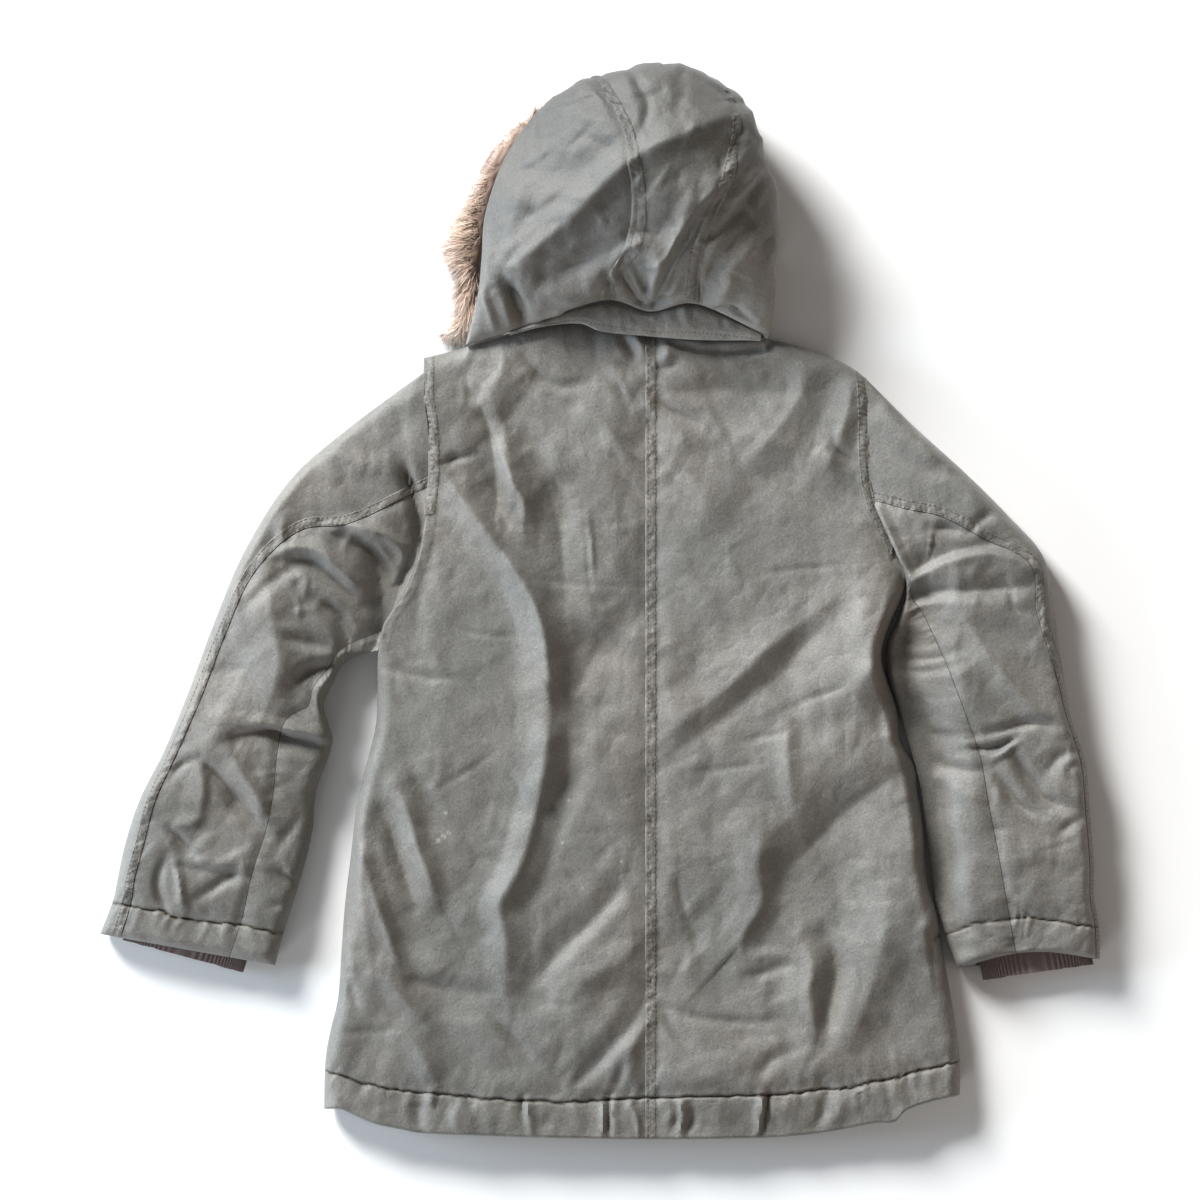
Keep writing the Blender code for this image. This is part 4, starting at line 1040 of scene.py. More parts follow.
def back_height(side, x, y):
    """Height of the back's outer face over points of the plan."""
    from_side = np.abs(read(side_edge(side), y) - x)
    from_hem = y - read(HEM, x)
    from_neck = read(NECK, x) - y
    top = cloth_top(BACK_TOP, x, y, BODY_CREASES, BODY_FOLDS, BODY_DRAPE)
    top -= 2.6 * dip(x - CENTRE_X - STRIP / 2, 11.0)
    if side > 0:
        top += strip(x - CENTRE_X, y)
    below = np.clip((UNDERARM[side] - y) / 30 + 0.5, 0, 1)
    top += strip(from_side, y) * (1 - below)
    rise = rounding(from_hem + 1.0, HEM_ROLL)
    rise = rise * mix(mix(0.93, 1.0, rounding(from_side, 10)),
                      rounding(from_side, SIDE_ROLL), below)
    shoulder = np.where((x < HOOD_SPAN[0]) | (x > HOOD_SPAN[1]), 1.0, 0.35)
    rise = rise * (1 - shoulder * (1 - rounding(from_neck, SHOULDER_ROLL)))
    low = BACK_FLOOR + EDGE_RISE
    return low + np.maximum(top - low, 1.0) * rise


def body_half(word, side, cloth):
    """One half of the back and of the front, and the function of the back's outer face."""
    gap = side * SEAM_GAP / 2
    width = abs(side_edge(side)[0][1] - CENTRE_X)

    def outer(a, b):
        x, y = half_plan(side, a, b)
        return x + gap * (1 - 2 * a), y, back_height(side, x, y)

    def inner(a, b):
        x, y = half_plan(side, a, b)
        return x + gap * (1 - 2 * a), y, np.full(np.shape(x), BACK_FLOOR)

    across = spaced(width, BODY_CELL, ((0, 9.0, 1.6), (width, 8.0, 1.6)))
    along = spaced(BODY_LENGTH, BODY_CELL,
                   ((0, 5.0, 2.0), (32.0, 6.0, 2.2), (BODY_LENGTH, 8.0, 1.5)))
    back = wall("back_" + word + "_cloth", cloth, across, along, outer, inner)
    zip_edge = CENTRE_X + side * (ZIP_WIDTH / 2 + SEAM_GAP)

    def front(a, b, inset, height):
        x, y = half_plan(side, a, b, inset)
        return np.where(a == 0.0, zip_edge, x), y, np.full(np.shape(x), height)

    front_piece = wall(
        "front_" + word + "_cloth", cloth, spaced(width, PLAIN_CELL, ((width, 8.0, 3.0),)),
        spaced(BODY_LENGTH, PLAIN_CELL), lambda a, b: front(a, b, 0.0, FRONT_WALL),
        lambda a, b: front(a, b, UNDER_INSET, 0.0))
    return back, front_piece, outer


def zip_pieces(tape, metal):
    """Closed zip: a woven tape and two rows of moulded teeth that mesh along its middle."""
    low, high = float(read(HEM, CENTRE_X)) + 2, float(read(NECK, CENTRE_X)) - 2

    def at(a, b, height):
        return CENTRE_X + (a - 0.5) * ZIP_WIDTH, mix(low, high, b), np.full(a.shape, height)

    flat = wall("zip_tape", tape, np.linspace(0, 1, 5), spaced(high - low, PLAIN_CELL),
                lambda a, b: at(a, b, ZIP_HEIGHT - 1.5), lambda a, b: at(a, b, 1.6))
    bm = bmesh.new()
    bmesh.ops.create_cube(bm, size=1.0)
    bmesh.ops.bevel(bm, geom=bm.edges[:], offset=0.18, offset_type="OFFSET", segments=1,
                    profile=0.5, affect="EDGES", material=-1)
    count = int((high - low - 2 * TOOTH_MARGIN) / TOOTH_PITCH)
    mesh, shape = copies(bm, count)
    k = np.arange(count)[:, None]
    size_x, size_y, size_z = TOOTH
    x = CENTRE_X + shape[:, 0] * size_x + np.where(k % 2, TOOTH_OFFSET, -TOOTH_OFFSET)
    y = low + TOOTH_MARGIN + (k + 0.5) * TOOTH_PITCH + shape[:, 1] * size_y
    z = 0.8 + shape[:, 2] * size_z + 0 * k
    set_points(mesh, np.stack([x, y, z], -1).reshape(-1, 3) * MM)
    return flat, finished("zip_teeth", mesh, metal)


# ---------------------------------------------------------------- sleeves
class Sleeve:
    """A flattened padded tube; place counts rows of its table, share runs across it."""

    def __init__(self, table, side, folds):
        self.table = table
        self.side = side
        self.folds = folds
        self.rows = len(table) - 1
        self.edge = side_edge(side)

    def width(self, place):
        """From the outer to the inner edge."""
        row = section(self.table, place)
        return np.hypot(row[2] - row[0], row[3] - row[1])

    def plan(self, place, share, arch=0.0):
        """Plan point; the first row follows the armhole, which fades out by row two."""
        row = section(self.table, place)
        x, y = mix(row[0], row[2], share), mix(row[1], row[3], share)
        start = self.table[0]
        hole_x = read(self.edge, mix(start[1], start[3], share)) + self.side * ARMHOLE_GAP
        fade = np.clip(1 - place / 2, 0, 1) ** 2
        x = x + fade * (hole_x - mix(start[0], start[2], share))
        lift = np.clip(place - self.rows + 1.0, 0, 1) ** 2 * np.sin(np.pi * share) ** 1.2
        return x, y + arch * lift

    def height(self, place, share):
        """Height of the outer face over the floor."""
        row = section(self.table, place)
        width = self.width(place)
        x, y = self.plan(place, share)
        along = place * SLEEVE_ROW
        top = cloth_top(row[6], x, y, SLEEVE_CREASES, self.folds, SLEEVE_DRAPE)
        upper = (row[4] - share) * width
        under = (share - row[5]) * width
        top -= 2.0 * dip(upper - STRIP / 2, 9.0) + 1.6 * dip(under, 5.0)
        top += strip(upper, along) + 0.5 * ripple(along, 0, 4.0, 41) * dip(under - 3, 6.0)
        cuff = (self.rows - place) * CUFF_TURN
        rise = rounding(np.minimum(share, 1 - share) * width, SLEEVE_ROLL)
        rise = mix(np.maximum(rise, 0.92), rise, np.clip(place, 0, 1))
        rise = rise * rounding(cuff + 1.5, 9.0)
        return SLEEVE_EDGE + np.maximum(top - SLEEVE_EDGE, 1.0) * rise

    def cuff_room(self, place):
        """0 to 1 towards the cuff, where the sleeve opens for the knit."""
        return np.clip((place - self.rows + 1.6) / 0.5, 0, 1)

    def roof(self, place):
        """Height of the upper layer's inner face."""
        return SLEEVE_SLAB + LAYER_GAP + 5.0 * self.cuff_room(place)

    def slab(self, place):
        """Thickness of the under layer."""
        return SLEEVE_SLAB - 4.0 * self.cuff_room(place)

    def stations(self):
        """Places about a cell apart, closer at the armhole and at the cuff's groove."""
        middle = np.stack([self.plan(np.arange(self.rows + 1.0), np.full(self.rows + 1, s))
                           for s in (0.2, 0.5, 0.8)])
        steps = np.hypot(*np.diff(middle, axis=-1).transpose(1, 0, 2)).mean(0)
        ends = np.concatenate([[0], np.cumsum(steps)])
        share = spaced(ends[-1], SLEEVE_CELL,
                       ((0, 6.0, 0.8), (ends[-2], 7.0, 1.2), (ends[-1], 5.0, 1.2)))
        return np.interp(share * ends[-1], ends, np.arange(self.rows + 1.0))


def between(a, marks, values):
    """Values on straight lines between marks; a value may differ from place to place."""
    out = values[0] + 0 * a
    for k in range(1, len(marks)):
        t = np.clip((a - marks[k - 1]) / (marks[k] - marks[k - 1]), 0, 1)
        out = np.where(a >= marks[k - 1], mix(values[k - 1], values[k], t), out)
    return out


def sleeve_pieces(word, sleeve, cloth):
    """The back, front and underarm pieces, and the function of the front's outer face."""
    along = sleeve.stations()
    arch = CUFF_ARCH[sleeve.side]
    half_gap = SEAM_GAP / 2

    def seam_share(place, column, outward):
        return section(sleeve.table, place)[column] + outward * half_gap / sleeve.width(place)

    # back piece: over the top from the upper seam to the underarm seam
    def back_share(a, place):
        return mix(seam_share(place, 4, 1), seam_share(place, 5, -1), a)

    def back_outer(a, place):
        share = back_share(a, place)
        return *sleeve.plan(place, share, arch), sleeve.height(place, share)

    def back_inner(a, place):
        return *sleeve.plan(place, back_share(a, place), arch), sleeve.roof(place)

    # front piece: from the upper seam round the outer edge and along the floor
    def front_outer(a, place):
        width = sleeve.width(place)
        foot = SLEEVE_FOOT / width
        turn = np.clip(a - 1, 0, 1) * math.pi / 2
        top = seam_share(place, 4, -1) * (1 - np.sin(np.clip(a, 0, 1) * math.pi / 2))
        far = 1 - (SLEEVE_WRAP + SEAM_GAP) / width
        share = np.where(a <= 1, top, mix(foot * (1 - np.cos(turn)), far, np.clip(a - 2, 0, 1)))
        bend = np.where(a <= 1, arch, 0.0)
        height = np.where(a <= 1, sleeve.height(place, share), SLEEVE_EDGE * (1 - np.sin(turn)))
        return *sleeve.plan(place, share, bend), height

    def front_inner(a, place):
        width = sleeve.width(place)
        top = seam_share(place, 4, -1)
        wrap = np.minimum(SLEEVE_WRAP / width, top * 0.7)
        far = 1 - (SLEEVE_WRAP + SEAM_GAP) / width
        share = between(a, (0, 0.9, 1.3, 1.9, 3), (top, wrap, wrap, wrap + 2 / width, far))
        roof, slab = sleeve.roof(place), sleeve.slab(place)
        height = between(a, (0, 0.9, 1.9, 3), (roof, roof, slab, slab))
        return *sleeve.plan(place, share, np.where(a < 0.9, arch, 0.0)), height

    # underarm piece: from the underarm seam round the inner edge to the floor
    def under_outer(a, place):
        foot = SLEEVE_FOOT / sleeve.width(place)
        turn = np.clip(a - 1, 0, 1) * math.pi / 2
        top = mix(seam_share(place, 5, 1), 1.0, np.sin(np.clip(a, 0, 1) * math.pi / 2))
        share = np.where(a <= 1, top, 1 - foot * (1 - np.cos(turn)))
        height = np.where(a <= 1, sleeve.height(place, share), SLEEVE_EDGE * (1 - np.sin(turn)))
        return *sleeve.plan(place, share, np.where(a <= 1, arch, 0.0)), height

    def under_inner(a, place):
        width = sleeve.width(place)
        top = 1 - seam_share(place, 5, 1)
        wrap = np.minimum(SLEEVE_WRAP / width, top * 0.8)
        share = 1 - between(a, (0, 0.9, 2), (top, wrap, wrap))
        roof, slab = sleeve.roof(place), sleeve.slab(place)
        height = between(a, (0, 0.9, 1.5, 2), (roof, roof, slab, np.zeros(np.shape(place))))
        return *sleeve.plan(place, share, np.where(a < 0.9, arch, 0.0)), height

    def columns(top, arc, floor=()):
        marks = [np.linspace(0, 1, top + 1), np.linspace(1, 2, arc + 1)[1:]]
        return np.concatenate(marks + [np.linspace(2, 3, floor + 1)[1:]] if floor else marks)

    pieces = [
        wall(f"sleeve_{word}_back_cloth", cloth,
             spaced(SLEEVE_BACK_WIDTH, SLEEVE_CELL, ((0, 8, 0.8),)),
             along, back_outer, back_inner),
        wall(f"sleeve_{word}_front_cloth", cloth, columns(16, 5, 8), along,
             front_outer, front_inner),
        wall(f"sleeve_{word}_under_cloth", cloth, columns(14, 5), along,
             under_outer, under_inner),
    ]
    return pieces, front_outer


def rib_cuff(word, sleeve, sizes, knit):
    """A flattened knit tube whose wall runs once round, ribbed along its length."""
    low, high, reach_low, reach_high = sizes
    end = float(sleeve.rows)
    floor, roof = float(sleeve.slab(end)) + LAYER_GAP, float(sleeve.roof(end)) - LAYER_GAP
    middle, half = (floor + roof) / 2, (roof - floor) / 2
    width = float(sleeve.width(end))
    ribs = round(2 * (high - low) * width / RIB_PITCH)
    inside = np.array(sleeve.plan(end - 1.2, 0.5))
    outside = np.array(sleeve.plan(end, 0.5))
    forward = (outside - inside) / np.linalg.norm(outside - inside)

    def spot(a, b, depth):
        turn = mix(math.pi - 0.12, 0.12 - math.pi, a)
        rib = 0.45 * np.cos(2 * math.pi * ribs * a) * (depth == 0)
        reach_across = np.sign(np.cos(turn)) * np.abs(np.cos(turn)) ** 0.6
        tall = np.sign(np.sin(turn)) * np.abs(np.sin(turn)) ** 0.6
        share = mix(low, high, 0.5 + 0.5 * reach_across) - reach_across * depth / width
        lip = rounding((1 - b) * 30.0 + 0.6, 1.6)
        height = middle + np.clip(tall, -1, 1) * (half - depth + rib * lip)
        x, y = sleeve.plan(np.full(np.shape(a), end), share)
        past = mix(reach_low, reach_high, np.clip((share - low) / (high - low), 0, 1))
        past = mix(-RIB_INSIDE, past + 0.5 * ripple(a * 200, 0, 6.0, 51), b)
        return x + forward[0] * past, y + forward[1] * past, height

    across = np.linspace(0, 1, ribs * 5 + 1)
    return wall("cuff_" + word + "_knit", knit, across, np.linspace(0, 1, 12),
                lambda a, b: spot(a, b, 0.0), lambda a, b: spot(a, b, RIB_WALL))


# ---------------------------------------------------------------- hood
def hood_point(column, row):
    """Middle of the hood's outer face, before its folds."""
    shape = np.shape(column)
    by_row, by_column = shares(HOOD_ROWS + 1, row), shares(HOOD_COLUMNS + 1, column)
    return np.einsum("nr,nc,rcd->nd", by_row, by_column, HOOD).reshape(*shape, 3)


def hood_width(column, row):
    """Millimetres from half a column before a place to half a column past it."""
    return np.linalg.norm(hood_point(column + 0.5, row) - hood_point(column - 0.5, row), axis=-1)


def hood_normal(column, row):
    """Unit direction out of the hood's face."""
    steps = (-0.05, 0.05)
    a, b = (hood_point(np.clip(column + step, 0, HOOD_COLUMNS), row) for step in steps)
    c, d = (hood_point(column, np.clip(row + step, 0, HOOD_ROWS)) for step in steps)
    normal = np.cross(b - a, d - c)
    return normal / np.linalg.norm(normal, axis=-1, keepdims=True)


def hood_panel(name, cloth):
    """One of the hood's three panels, and the function of its outer face."""
    first, last = HOOD_PANELS[name]

    def bare(column, row):
        """The face without folds, drawn back from the seams."""
        place = hood_point(column, row)
        for edge, inward in ((first, 0.1), (last, -0.1)):
            if 0 < edge < HOOD_COLUMNS:
                step = hood_point(column + inward, row) - place
                step /= np.linalg.norm(step, axis=-1, keepdims=True)
                place = place + step * (column == edge)[..., None] * HOOD_SEAM_GAP / 2
        return place

    def lengths(column, row):
        """Millimetres from the panel's first seam, from its last, and from the nape."""
        wide = hood_width(np.full(np.shape(column), (first + last) / 2), row)
        return (column - first) * wide, (last - column) * wide, row * HOOD_ROW

    def outer(column, row):
        place, normal = bare(column, row), hood_normal(column, row)
        x, y = place[..., 0], place[..., 1]
        from_first, from_last, along = lengths(column, row)
        raised = folds_at(x, y, HOOD_FOLDS, *HOOD_DRAPE) + 0.8 * crumple(x + 300, y)
        raised = raised + folds_at(x, y, HOOD_CREASES, 1.5)
        if name == "hood_centre":
            for away in (from_first, from_last):
                raised = raised + strip(away, along) - 1.5 * dip(away - 4, 8.0)
        else:
            raised = raised - 1.5 * dip(from_first if first > 0 else from_last, 6.0)
        to_rim = HOOD_ROWS - row
        inside = ease(row / 0.25) * ease(to_rim / 0.4)
        edge = 1 - rounding(np.minimum(row * HOOD_ROW, to_rim * HOOD_RIM_ROW) + 0.5, HOOD_ROLL)
        for is_rim, away in ((first == 0, from_first), (last == HOOD_COLUMNS, from_last)):
            if is_rim:
                inside = inside * ease(away / 10)
                edge = np.maximum(edge, 1 - rounding(away + 0.5, HOOD_ROLL))
        place = place + normal * (raised * inside - 0.5 * HOOD_WALL * edge)[..., None]
        return place[..., 0], place[..., 1], place[..., 2]

    def inner(column, row):
        place = bare(column, row) - hood_normal(column, row) * HOOD_WALL
        return place[..., 0], place[..., 1], place[..., 2]

    across = spaced(HOOD_PANEL_WIDTH, HOOD_CELL, ((0, 6, 0.8), (HOOD_PANEL_WIDTH, 6, 0.8)))
    along = spaced(HOOD_LENGTH, HOOD_CELL, ((0, 6, 1.0), (HOOD_LENGTH, 8, 1.0)))
    panel = wall(name + "_cloth", cloth, mix(first, last, across), HOOD_ROWS * along,
                 outer, inner)
    return panel, outer


def paint_light_and_shade_on_hood(piece):
    """Painted light and shade on the hood's cloth: paler at its foot, which the hood's own
    shadow covers, and towards its right, and darker over the crown and towards its left.
    """
    x, y, _ = get_points(piece.data).T / MM
    shade = between(y, (232, 262, 300, 350, 400), (1.5, 1.25, 0.95, 0.8, 0.58))
    shade = shade * mix(0.85, 1.12, np.clip((x + 60) / 170, 0, 1))
    piece.data.attributes.new("shade", "FLOAT", "POINT").data.foreach_set("value", shade - 1)


def hood_band(cloth):
    """The strip that joins the hood to the neck, and the function of its outer face."""
    nape = hood_point(np.linspace(0, HOOD_COLUMNS - 1, 501), np.zeros(501))

    def outer(a, b):
        x = mix(*BAND_SPAN, a)
        top_y, top_z = (np.interp(x, nape[:, 0], nape[:, k]) for k in (1, 2))
        low_y = read(NECK, x) - 2.5
        edge = 1.2 * (1 - rounding(np.minimum(b, 1 - b) * BAND_WIDTH + 0.2, 2.0))
        puff = 1.2 * np.sin(math.pi * b) + 1.4 * ripple(x + 6 * b, 5 * b, 6.0, 61) * b
        puff += 0.4 * ripple(x, BAND_WIDTH * b, 2.5, 62) - 0.5 * dip(b * BAND_WIDTH - 2.6, 0.8)
        tuck = 5.0 * ease((b - 0.8) / 0.2)
        return x, mix(low_y, top_y + 2.0, b), mix(BAND_TOP, top_z, b) + puff - edge - tuck

    def inner(a, b):
        x, y, z = outer(a, b)
        return x, y, z - BAND_WALL

    band = wall("hood_band_cloth", cloth, spaced(BAND_LENGTH, BAND_CELL),
                np.linspace(0, 1, 12), outer, inner)
    return band, outer


# ---------------------------------------------------------------- fur
def fur_way(place):
    """Unit direction along the strip, in plan."""
    before, after = (section(FUR, np.clip(place + step, 0, FUR_ROWS)) for step in (-0.1, 0.1))
    x, y = after[0] - before[0], after[1] - before[1]
    size = np.hypot(x, y)
    return x / size, y / size


def fur_spot(a, place, scale):
    """A point on the strip's rounded top, drawn in by a scale."""
    x, y, half, high = section(FUR, place)[:4]
    way_x, way_y = fur_way(place)
    reach = half * a * scale
    rise = np.clip(1 - np.abs(a) ** 3, 0, 1) ** (1 / 3)
    return x + way_y * reach, y - way_x * reach, np.maximum(2.0, high * scale * rise)


def fur_wool(finish):
    """Dense under-wool of the strip, which the long hairs grow from."""
    def outer(a, place):
        x, y, z = fur_spot(a, place, WOOL_SHARE)
        lock = ripple(x + 2 * z, y, 3.0, 71) + ripple(x, y + z, 1.6, 72)
        return x, y, np.maximum(1.5, z + 1.1 * lock * (1 - np.abs(a)))

    def inner(a, place):
        x, y, _ = fur_spot(a, place, ROOT_SHARE)
        return x, y, np.full(np.shape(x), 0.3)

    along = FUR_ROWS * spaced(FUR_LENGTH, FUR_CELL)
    return wall("fur_wool", finish, np.linspace(-1, 1, 17), along, outer, inner)


def one_hair():
    """A tapered hair of unit length and three sides, with two joints to bend at."""
    bm = bmesh.new()
    bmesh.ops.create_cone(bm, cap_ends=True, segments=3, radius1=1.0, radius2=0.0, depth=1.0)
    bmesh.ops.translate(bm, verts=bm.verts[:], vec=(0, 0, 0.5))
    for level in (0.3, 0.65):
        bmesh.ops.bisect_plane(bm, geom=bm.verts[:] + bm.edges[:] + bm.faces[:],
                               plane_co=(0, 0, level), plane_no=(0, 0, 1))
    for corner in bm.verts:
        if corner.co.z < 0.99:
            corner.co.xy = corner.co.xy.normalized()
    return bm


def hairs(name, finish, count, span, seed):
    """Long tapered hairs over a stretch of the strip, gathered in locks."""
    mesh, shape = copies(one_hair(), count)
    draw = np.random.default_rng(seed)
    # where each hair is rooted, and the lock that it belongs to
    place = draw.uniform(*span, count)
    a = draw.uniform(-0.95, 0.95, count)
    lock = np.round(place * 5) + 0.5 * np.round(a * 2)
    tuft = np.stack([ripple(lock * 3.7, k, 1.0, seed + k) for k in range(4)])
    x, y, z = fur_spot(a, place, ROOT_SHARE)
    # which way it runs, how far, how steeply and how thick
    high, turn, long = section(FUR, place)[3:]
    turn = np.radians(turn + 22 * tuft[0] + draw.normal(0, 12, count))
    long = long * (0.8 + 0.25 * tuft[1] + draw.uniform(-0.25, 0.25, count))
    rise = np.radians(38 + 16 * tuft[2] + draw.normal(0, 9, count))
    rise = rise * (0.4 + 0.6 * high / FUR_TOP)
    thick = draw.uniform(0.2, 0.4, count)
    sweep = np.radians(34 * tuft[3] + draw.normal(0, 10, count))
    # kept within the fur's outline on the side that shows
    reach = read(FUR_REACH, y + np.sin(turn) * long * 0.8)
    room = np.maximum(x - reach, 3.0) * draw.uniform(0.9, 1.1, count)
    wanted = -np.cos(turn) * long * 0.9
    seen = (y < FUR_SHOWS_BELOW) & (x < FUR_SHOWS_BEFORE) & (wanted > 0)
    long = np.where(seen, long * np.minimum(1, room / np.maximum(wanted, 1)), long)
    # bent over along its length, and tapered
    t = shape[:, 2][None, :]
    bend = turn[:, None] + sweep[:, None] * t
    lift = rise[:, None] * (1 - 1.35 * t)
    step = long[:, None] * t
    px = x[:, None] + np.cos(bend) * np.cos(lift) * step
    py = y[:, None] + np.sin(bend) * np.cos(lift) * step
    pz = z[:, None] + np.sin(lift) * step
    radius = thick[:, None] * (1 - 0.85 * t ** 1.6)
    px = px - np.sin(bend) * radius * shape[:, 0] + np.cos(bend) * radius * shape[:, 1] * 0.2
    py = py + np.cos(bend) * radius * shape[:, 0] + np.sin(bend) * radius * shape[:, 1] * 0.2
    pz = np.maximum(pz + radius * shape[:, 1], 0.3)
    set_points(mesh, np.stack([px, py, pz], -1).reshape(-1, 3) * MM)
    tone = 0.5 + 0.3 * tuft[1] + draw.normal(0, 0.16, count)
    # hairs rooted close to the fur's outer edge, on the side that shows, get a lower, mauve-grey
    # tone
    tone = np.clip(tone - 0.3 * (room < 9) * seen, 0.02, 0.98)
    set_cloth_map(mesh, np.repeat(tone, len(shape)), np.tile(shape[:, 2], count))
    mesh.shade_smooth()
    return finished(name, mesh, finish)


# ---------------------------------------------------------------- sewing
def sew(name, finish, rows):
    """Stitches along lines on the cloth; each line is an array of points."""
    centres, ways = [], []
    for line in rows:
        steps = np.linalg.norm(np.diff(line, axis=0), axis=1)
        ends = np.concatenate([[0], np.cumsum(steps)])
        marks = np.arange(STITCH_PITCH / 2, ends[-1] - STITCH_PITCH / 2, STITCH_PITCH)
        spots = [np.stack([np.interp(marks + step, ends, line[:, k]) for k in range(3)], -1)
                 for step in (-STITCH / 2, 0.0, STITCH / 2)]
        centres.append(spots[1])
        way = spots[2] - spots[0]
        ways.append(way / np.linalg.norm(way, axis=1, keepdims=True))
    centres, ways = np.concatenate(centres), np.concatenate(ways)
    bm = bmesh.new()
    bmesh.ops.create_icosphere(bm, subdivisions=1, radius=1.0)
    mesh, shape = copies(bm, len(centres))
    across = np.cross(ways, (0, 0, 1))
    across /= np.linalg.norm(across, axis=1, keepdims=True)
    up = np.cross(across, ways)
    points = centres[:, None] + ways[:, None] * shape[:, 0, None] * STITCH / 2
    points += across[:, None] * shape[:, 1, None] * STITCH_RADIUS
    points += up[:, None] * (shape[:, 2, None] * STITCH_RADIUS)
    set_points(mesh, points.reshape(-1, 3) * MM)
    mesh.shade_smooth()
    return finished(name, mesh, finish)


# ---------------------------------------------------------------- stage
def stage():
    """Pale floor, camera straight above and soft light from the upper left."""
    bm = bmesh.new()
    bmesh.ops.create_grid(bm, x_segments=1, y_segments=1, size=4.0)
    floor = Finish("floor", (0.92, 0.92, 0.92), 0.9, Specular_IOR_Level=0.1)
    finished("floor", new_mesh("floor", bm), floor.material)

    seen_width, above, cloth_top = 0.960, 6.0, 0.015
    eye = bpy.data.cameras.new("camera")
    eye.sensor_width = 36.0
    eye.lens = eye.sensor_width * (above - cloth_top) / seen_width
    camera = link("camera", eye)
    camera.location = (0.0, 0.001, above)
    eye.clip_end = 20.0
    bpy.context.scene.camera = camera

    world = bpy.data.worlds.new("studio")
    world.use_nodes = True
    sky = world.node_tree.nodes["Background"]
    sky.inputs["Color"].default_value = (1.0, 0.97, 0.94, 1)
    sky.inputs["Strength"].default_value = 0.17
    bpy.context.scene.world = world

    #   name, place, what it points at, size, power, colour
    lamps = (
        ("key", (-5.0, 6.5, 3.9), (0.05, 0, 0), 2.9, 1800.0, (0.98, 0.99, 0.98)),
        ("fill", (-1.6, -3.2, 0.8), (0.05, 0, 0), 1.5, 45.0, (0.88, 0.95, 1.0)),
        ("side", (-3.6, 0.2, 0.85), (0.05, 0, 0), 1.5, 128.0, (0.64, 0.81, 1.0)),
        ("warm", (3.0, -1.2, 0.9), (0.05, 0, 0), 1.4, 16.0, (1.0, 0.76, 0.60)),
        ("hood_fill", (-1.9, -2.0, 0.80), (0.03, 0.25, 0.03), 0.3, 250.0, (1.0, 0.99, 0.97)),
    )
    for name, place, target, size, power, colour in lamps:
        data = bpy.data.lights.new(name, "SPOT" if name == "hood_fill" else "AREA")
        data.energy, data.color = power, colour
        if data.type == "SPOT":
            data.spot_size, data.spot_blend = math.radians(8.5), 1.0
            data.shadow_soft_size = size
        else:
            data.size = size
        lamp = link(name, data)
        lamp.location = place
        lamp.rotation_euler = (Vector(target) - Vector(place)).to_track_quat(
            "-Z", "Y").to_euler()
    bpy.context.scene.view_settings.view_transform = "Standard"


# ---------------------------------------------------------------- the coat
def dress(piece):
    """The piece belongs to the coat: it is hung from the coat's root."""
    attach(piece, "root")


def declare(piece, node):
    """The piece stands for a node, whose solid is hidden, and belongs to the coat."""
    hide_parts(node)
    dress(piece)


def felled(name, cloth, length, beside, rows):
    """The strip over a seam; the lines of its two rows of stitches are added to rows."""
    share = np.linspace(0.003, 0.997, 400)
    for offset in (STITCH_INSET, STRIP - STITCH_INSET):
        line = np.stack(beside(np.full(400, offset), share)[:3], -1)
        rows.append(line + (0, 0, STITCH_RISE))
    piece = seam_strip(name, cloth, beside, length, 7 * int(length))
    dress(piece)
    return piece


def dress_body(word, side, cloth, rows):
    """One half of the back and of the front, with the strips over the back's seams."""
    back, front, outer = body_half(word, side, cloth)
    edge, start = side_edge(side), ARMHOLE_START[side]

    def width(b):
        return np.abs(read(edge, mix(edge[0][0], edge[-1][0], b)) - CENTRE_X)

    def beside_armhole(away, b):
        b = mix(start, 1.0, b)
        return outer(1 - away / width(b), b)

    def beside_centre(away, b):
        return outer(away / width(b), b)

    strips = [felled("armhole_strip_" + word, cloth, 600.0 * (1 - start), beside_armhole, rows)]
    if side > 0:
        strips.append(felled("centre_back_strip", cloth, 640.0, beside_centre, rows))
    declare(back, "back_" + word)
    declare(front, "front_" + word)


def dress_sleeve(word, sleeve, sizes, cloth, knit, rows):
    """A sleeve's three pieces, the strip over its upper seam, and its knit cuff."""
    (back, front, under), front_outer = sleeve_pieces(word, sleeve, cloth)

    def beside_seam(away, b):
        place = b * sleeve.rows
        seam = section(sleeve.table, place)[4]
        share = np.clip(1 - away / (seam * sleeve.width(place)), 0, 1)
        return front_outer(np.arcsin(1 - share) / (math.pi / 2), place)

    strips = [felled(f"sleeve_{word}_strip", cloth, 430.0, beside_seam, rows)]
    declare(back, f"sleeve_{word}_back")
    declare(front, f"sleeve_{word}_front")
    declare(under, f"sleeve_{word}_under")
    cuff = rib_cuff(word, sleeve, sizes, knit)
    declare(cuff, "cuff_" + word)


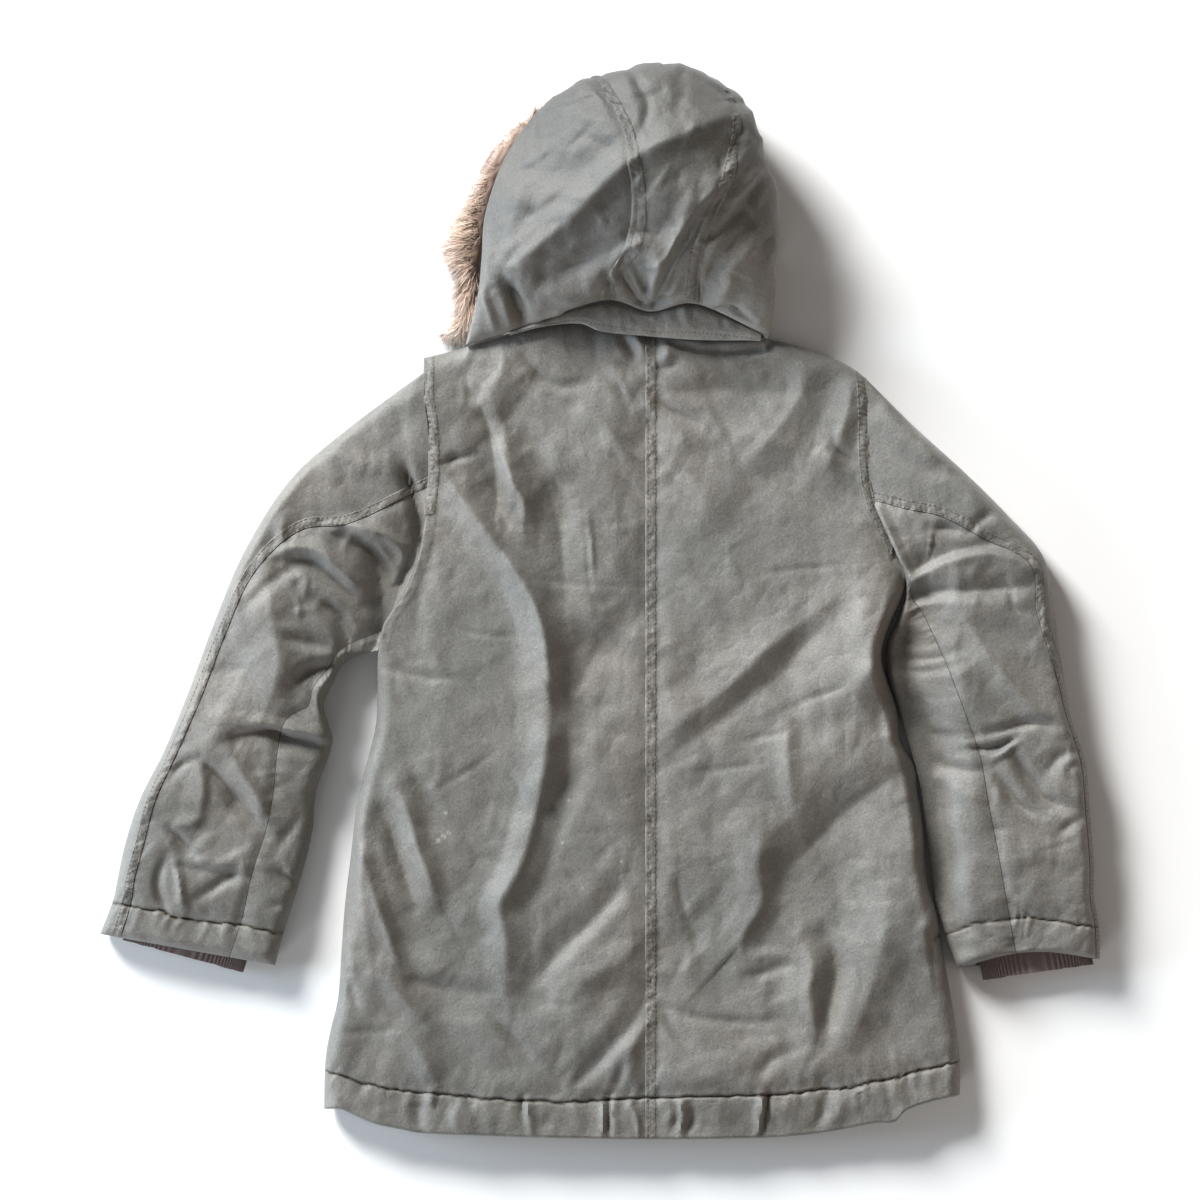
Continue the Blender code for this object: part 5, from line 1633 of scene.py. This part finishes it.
def dress_hood_panel(name, cloth, rows):
    """A panel of the hood; the centre one carries the strips over both seams."""
    first, last = HOOD_PANELS[name]
    panel, outer = hood_panel(name, cloth)

    def beside_seam(away, b, edge, hand):
        row = mix(0.05, 6.9, b)
        wide = hood_width(np.full(row.shape, first + 1.0), row)
        return outer(edge + hand * away / wide, row)

    strips = []
    if name == "hood_centre":
        strips = [felled("hood_strip_left", cloth, HOOD_LENGTH,
                         lambda away, b: beside_seam(away, b, first, 1), rows),
                  felled("hood_strip_right", cloth, HOOD_LENGTH,
                         lambda away, b: beside_seam(away, b, last, -1), rows)]
    for piece in (panel, *strips):
        paint_light_and_shade_on_hood(piece)
    declare(panel, name)


def dress_band(cloth, rows):
    """The hood's band with its one row of stitches."""
    band, outer = hood_band(cloth)
    paint_light_and_shade_on_hood(band)
    declare(band, "hood_band")
    rows.append(np.stack(outer(np.linspace(0.01, 0.99, 200), np.full(200, 0.19)), -1))


def main():
    cloth, knit = shell_cloth(), rib_knit()
    # The stitches are a dark brown thread; their darkness is partly painted shade of the needle
    # holes they sink into
    thread = plain_finish("sewing_thread", (0.13, 0.112, 0.092), 0.7)
    tape = plain_finish("zip_tape", (0.05, 0.05, 0.046), 0.8)
    teeth = plain_finish("zip_teeth", (0.10, 0.09, 0.075), 0.4)
    wool = fur_finish("fur_wool", True)
    hair = fur_finish("fur_hair", False)
    stage()

    rows = []             # lines that the stitches follow
    for word, side in (("left", -1), ("right", 1)):
        dress_body(word, side, cloth, rows)
    sleeves = (("left", Sleeve(SLEEVE_LEFT, -1, LEFT_SLEEVE_FOLDS), RIB_LEFT),
               ("right", Sleeve(SLEEVE_RIGHT, 1, RIGHT_SLEEVE_FOLDS), RIB_RIGHT))
    for word, sleeve, sizes in sleeves:
        dress_sleeve(word, sleeve, sizes, cloth, knit, rows)
    for name in HOOD_PANELS:
        dress_hood_panel(name, cloth, rows)
    dress_band(cloth, rows)
    dress(sew("seam_stitches", thread, rows))

    zipped = zip_pieces(tape, teeth)
    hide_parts("zip")
    for piece in zipped:
        dress(piece)

    core = fur_wool(wool)
    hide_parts("fur_trim")
    for piece in (core, hairs("fur_side", hair, 11800, (0.0, 10.2), 81),
                  hairs("fur_round", hair, 3000, (10.0, 20.0), 91)):
        dress(piece)


main()

bpy.context.view_layer.update()
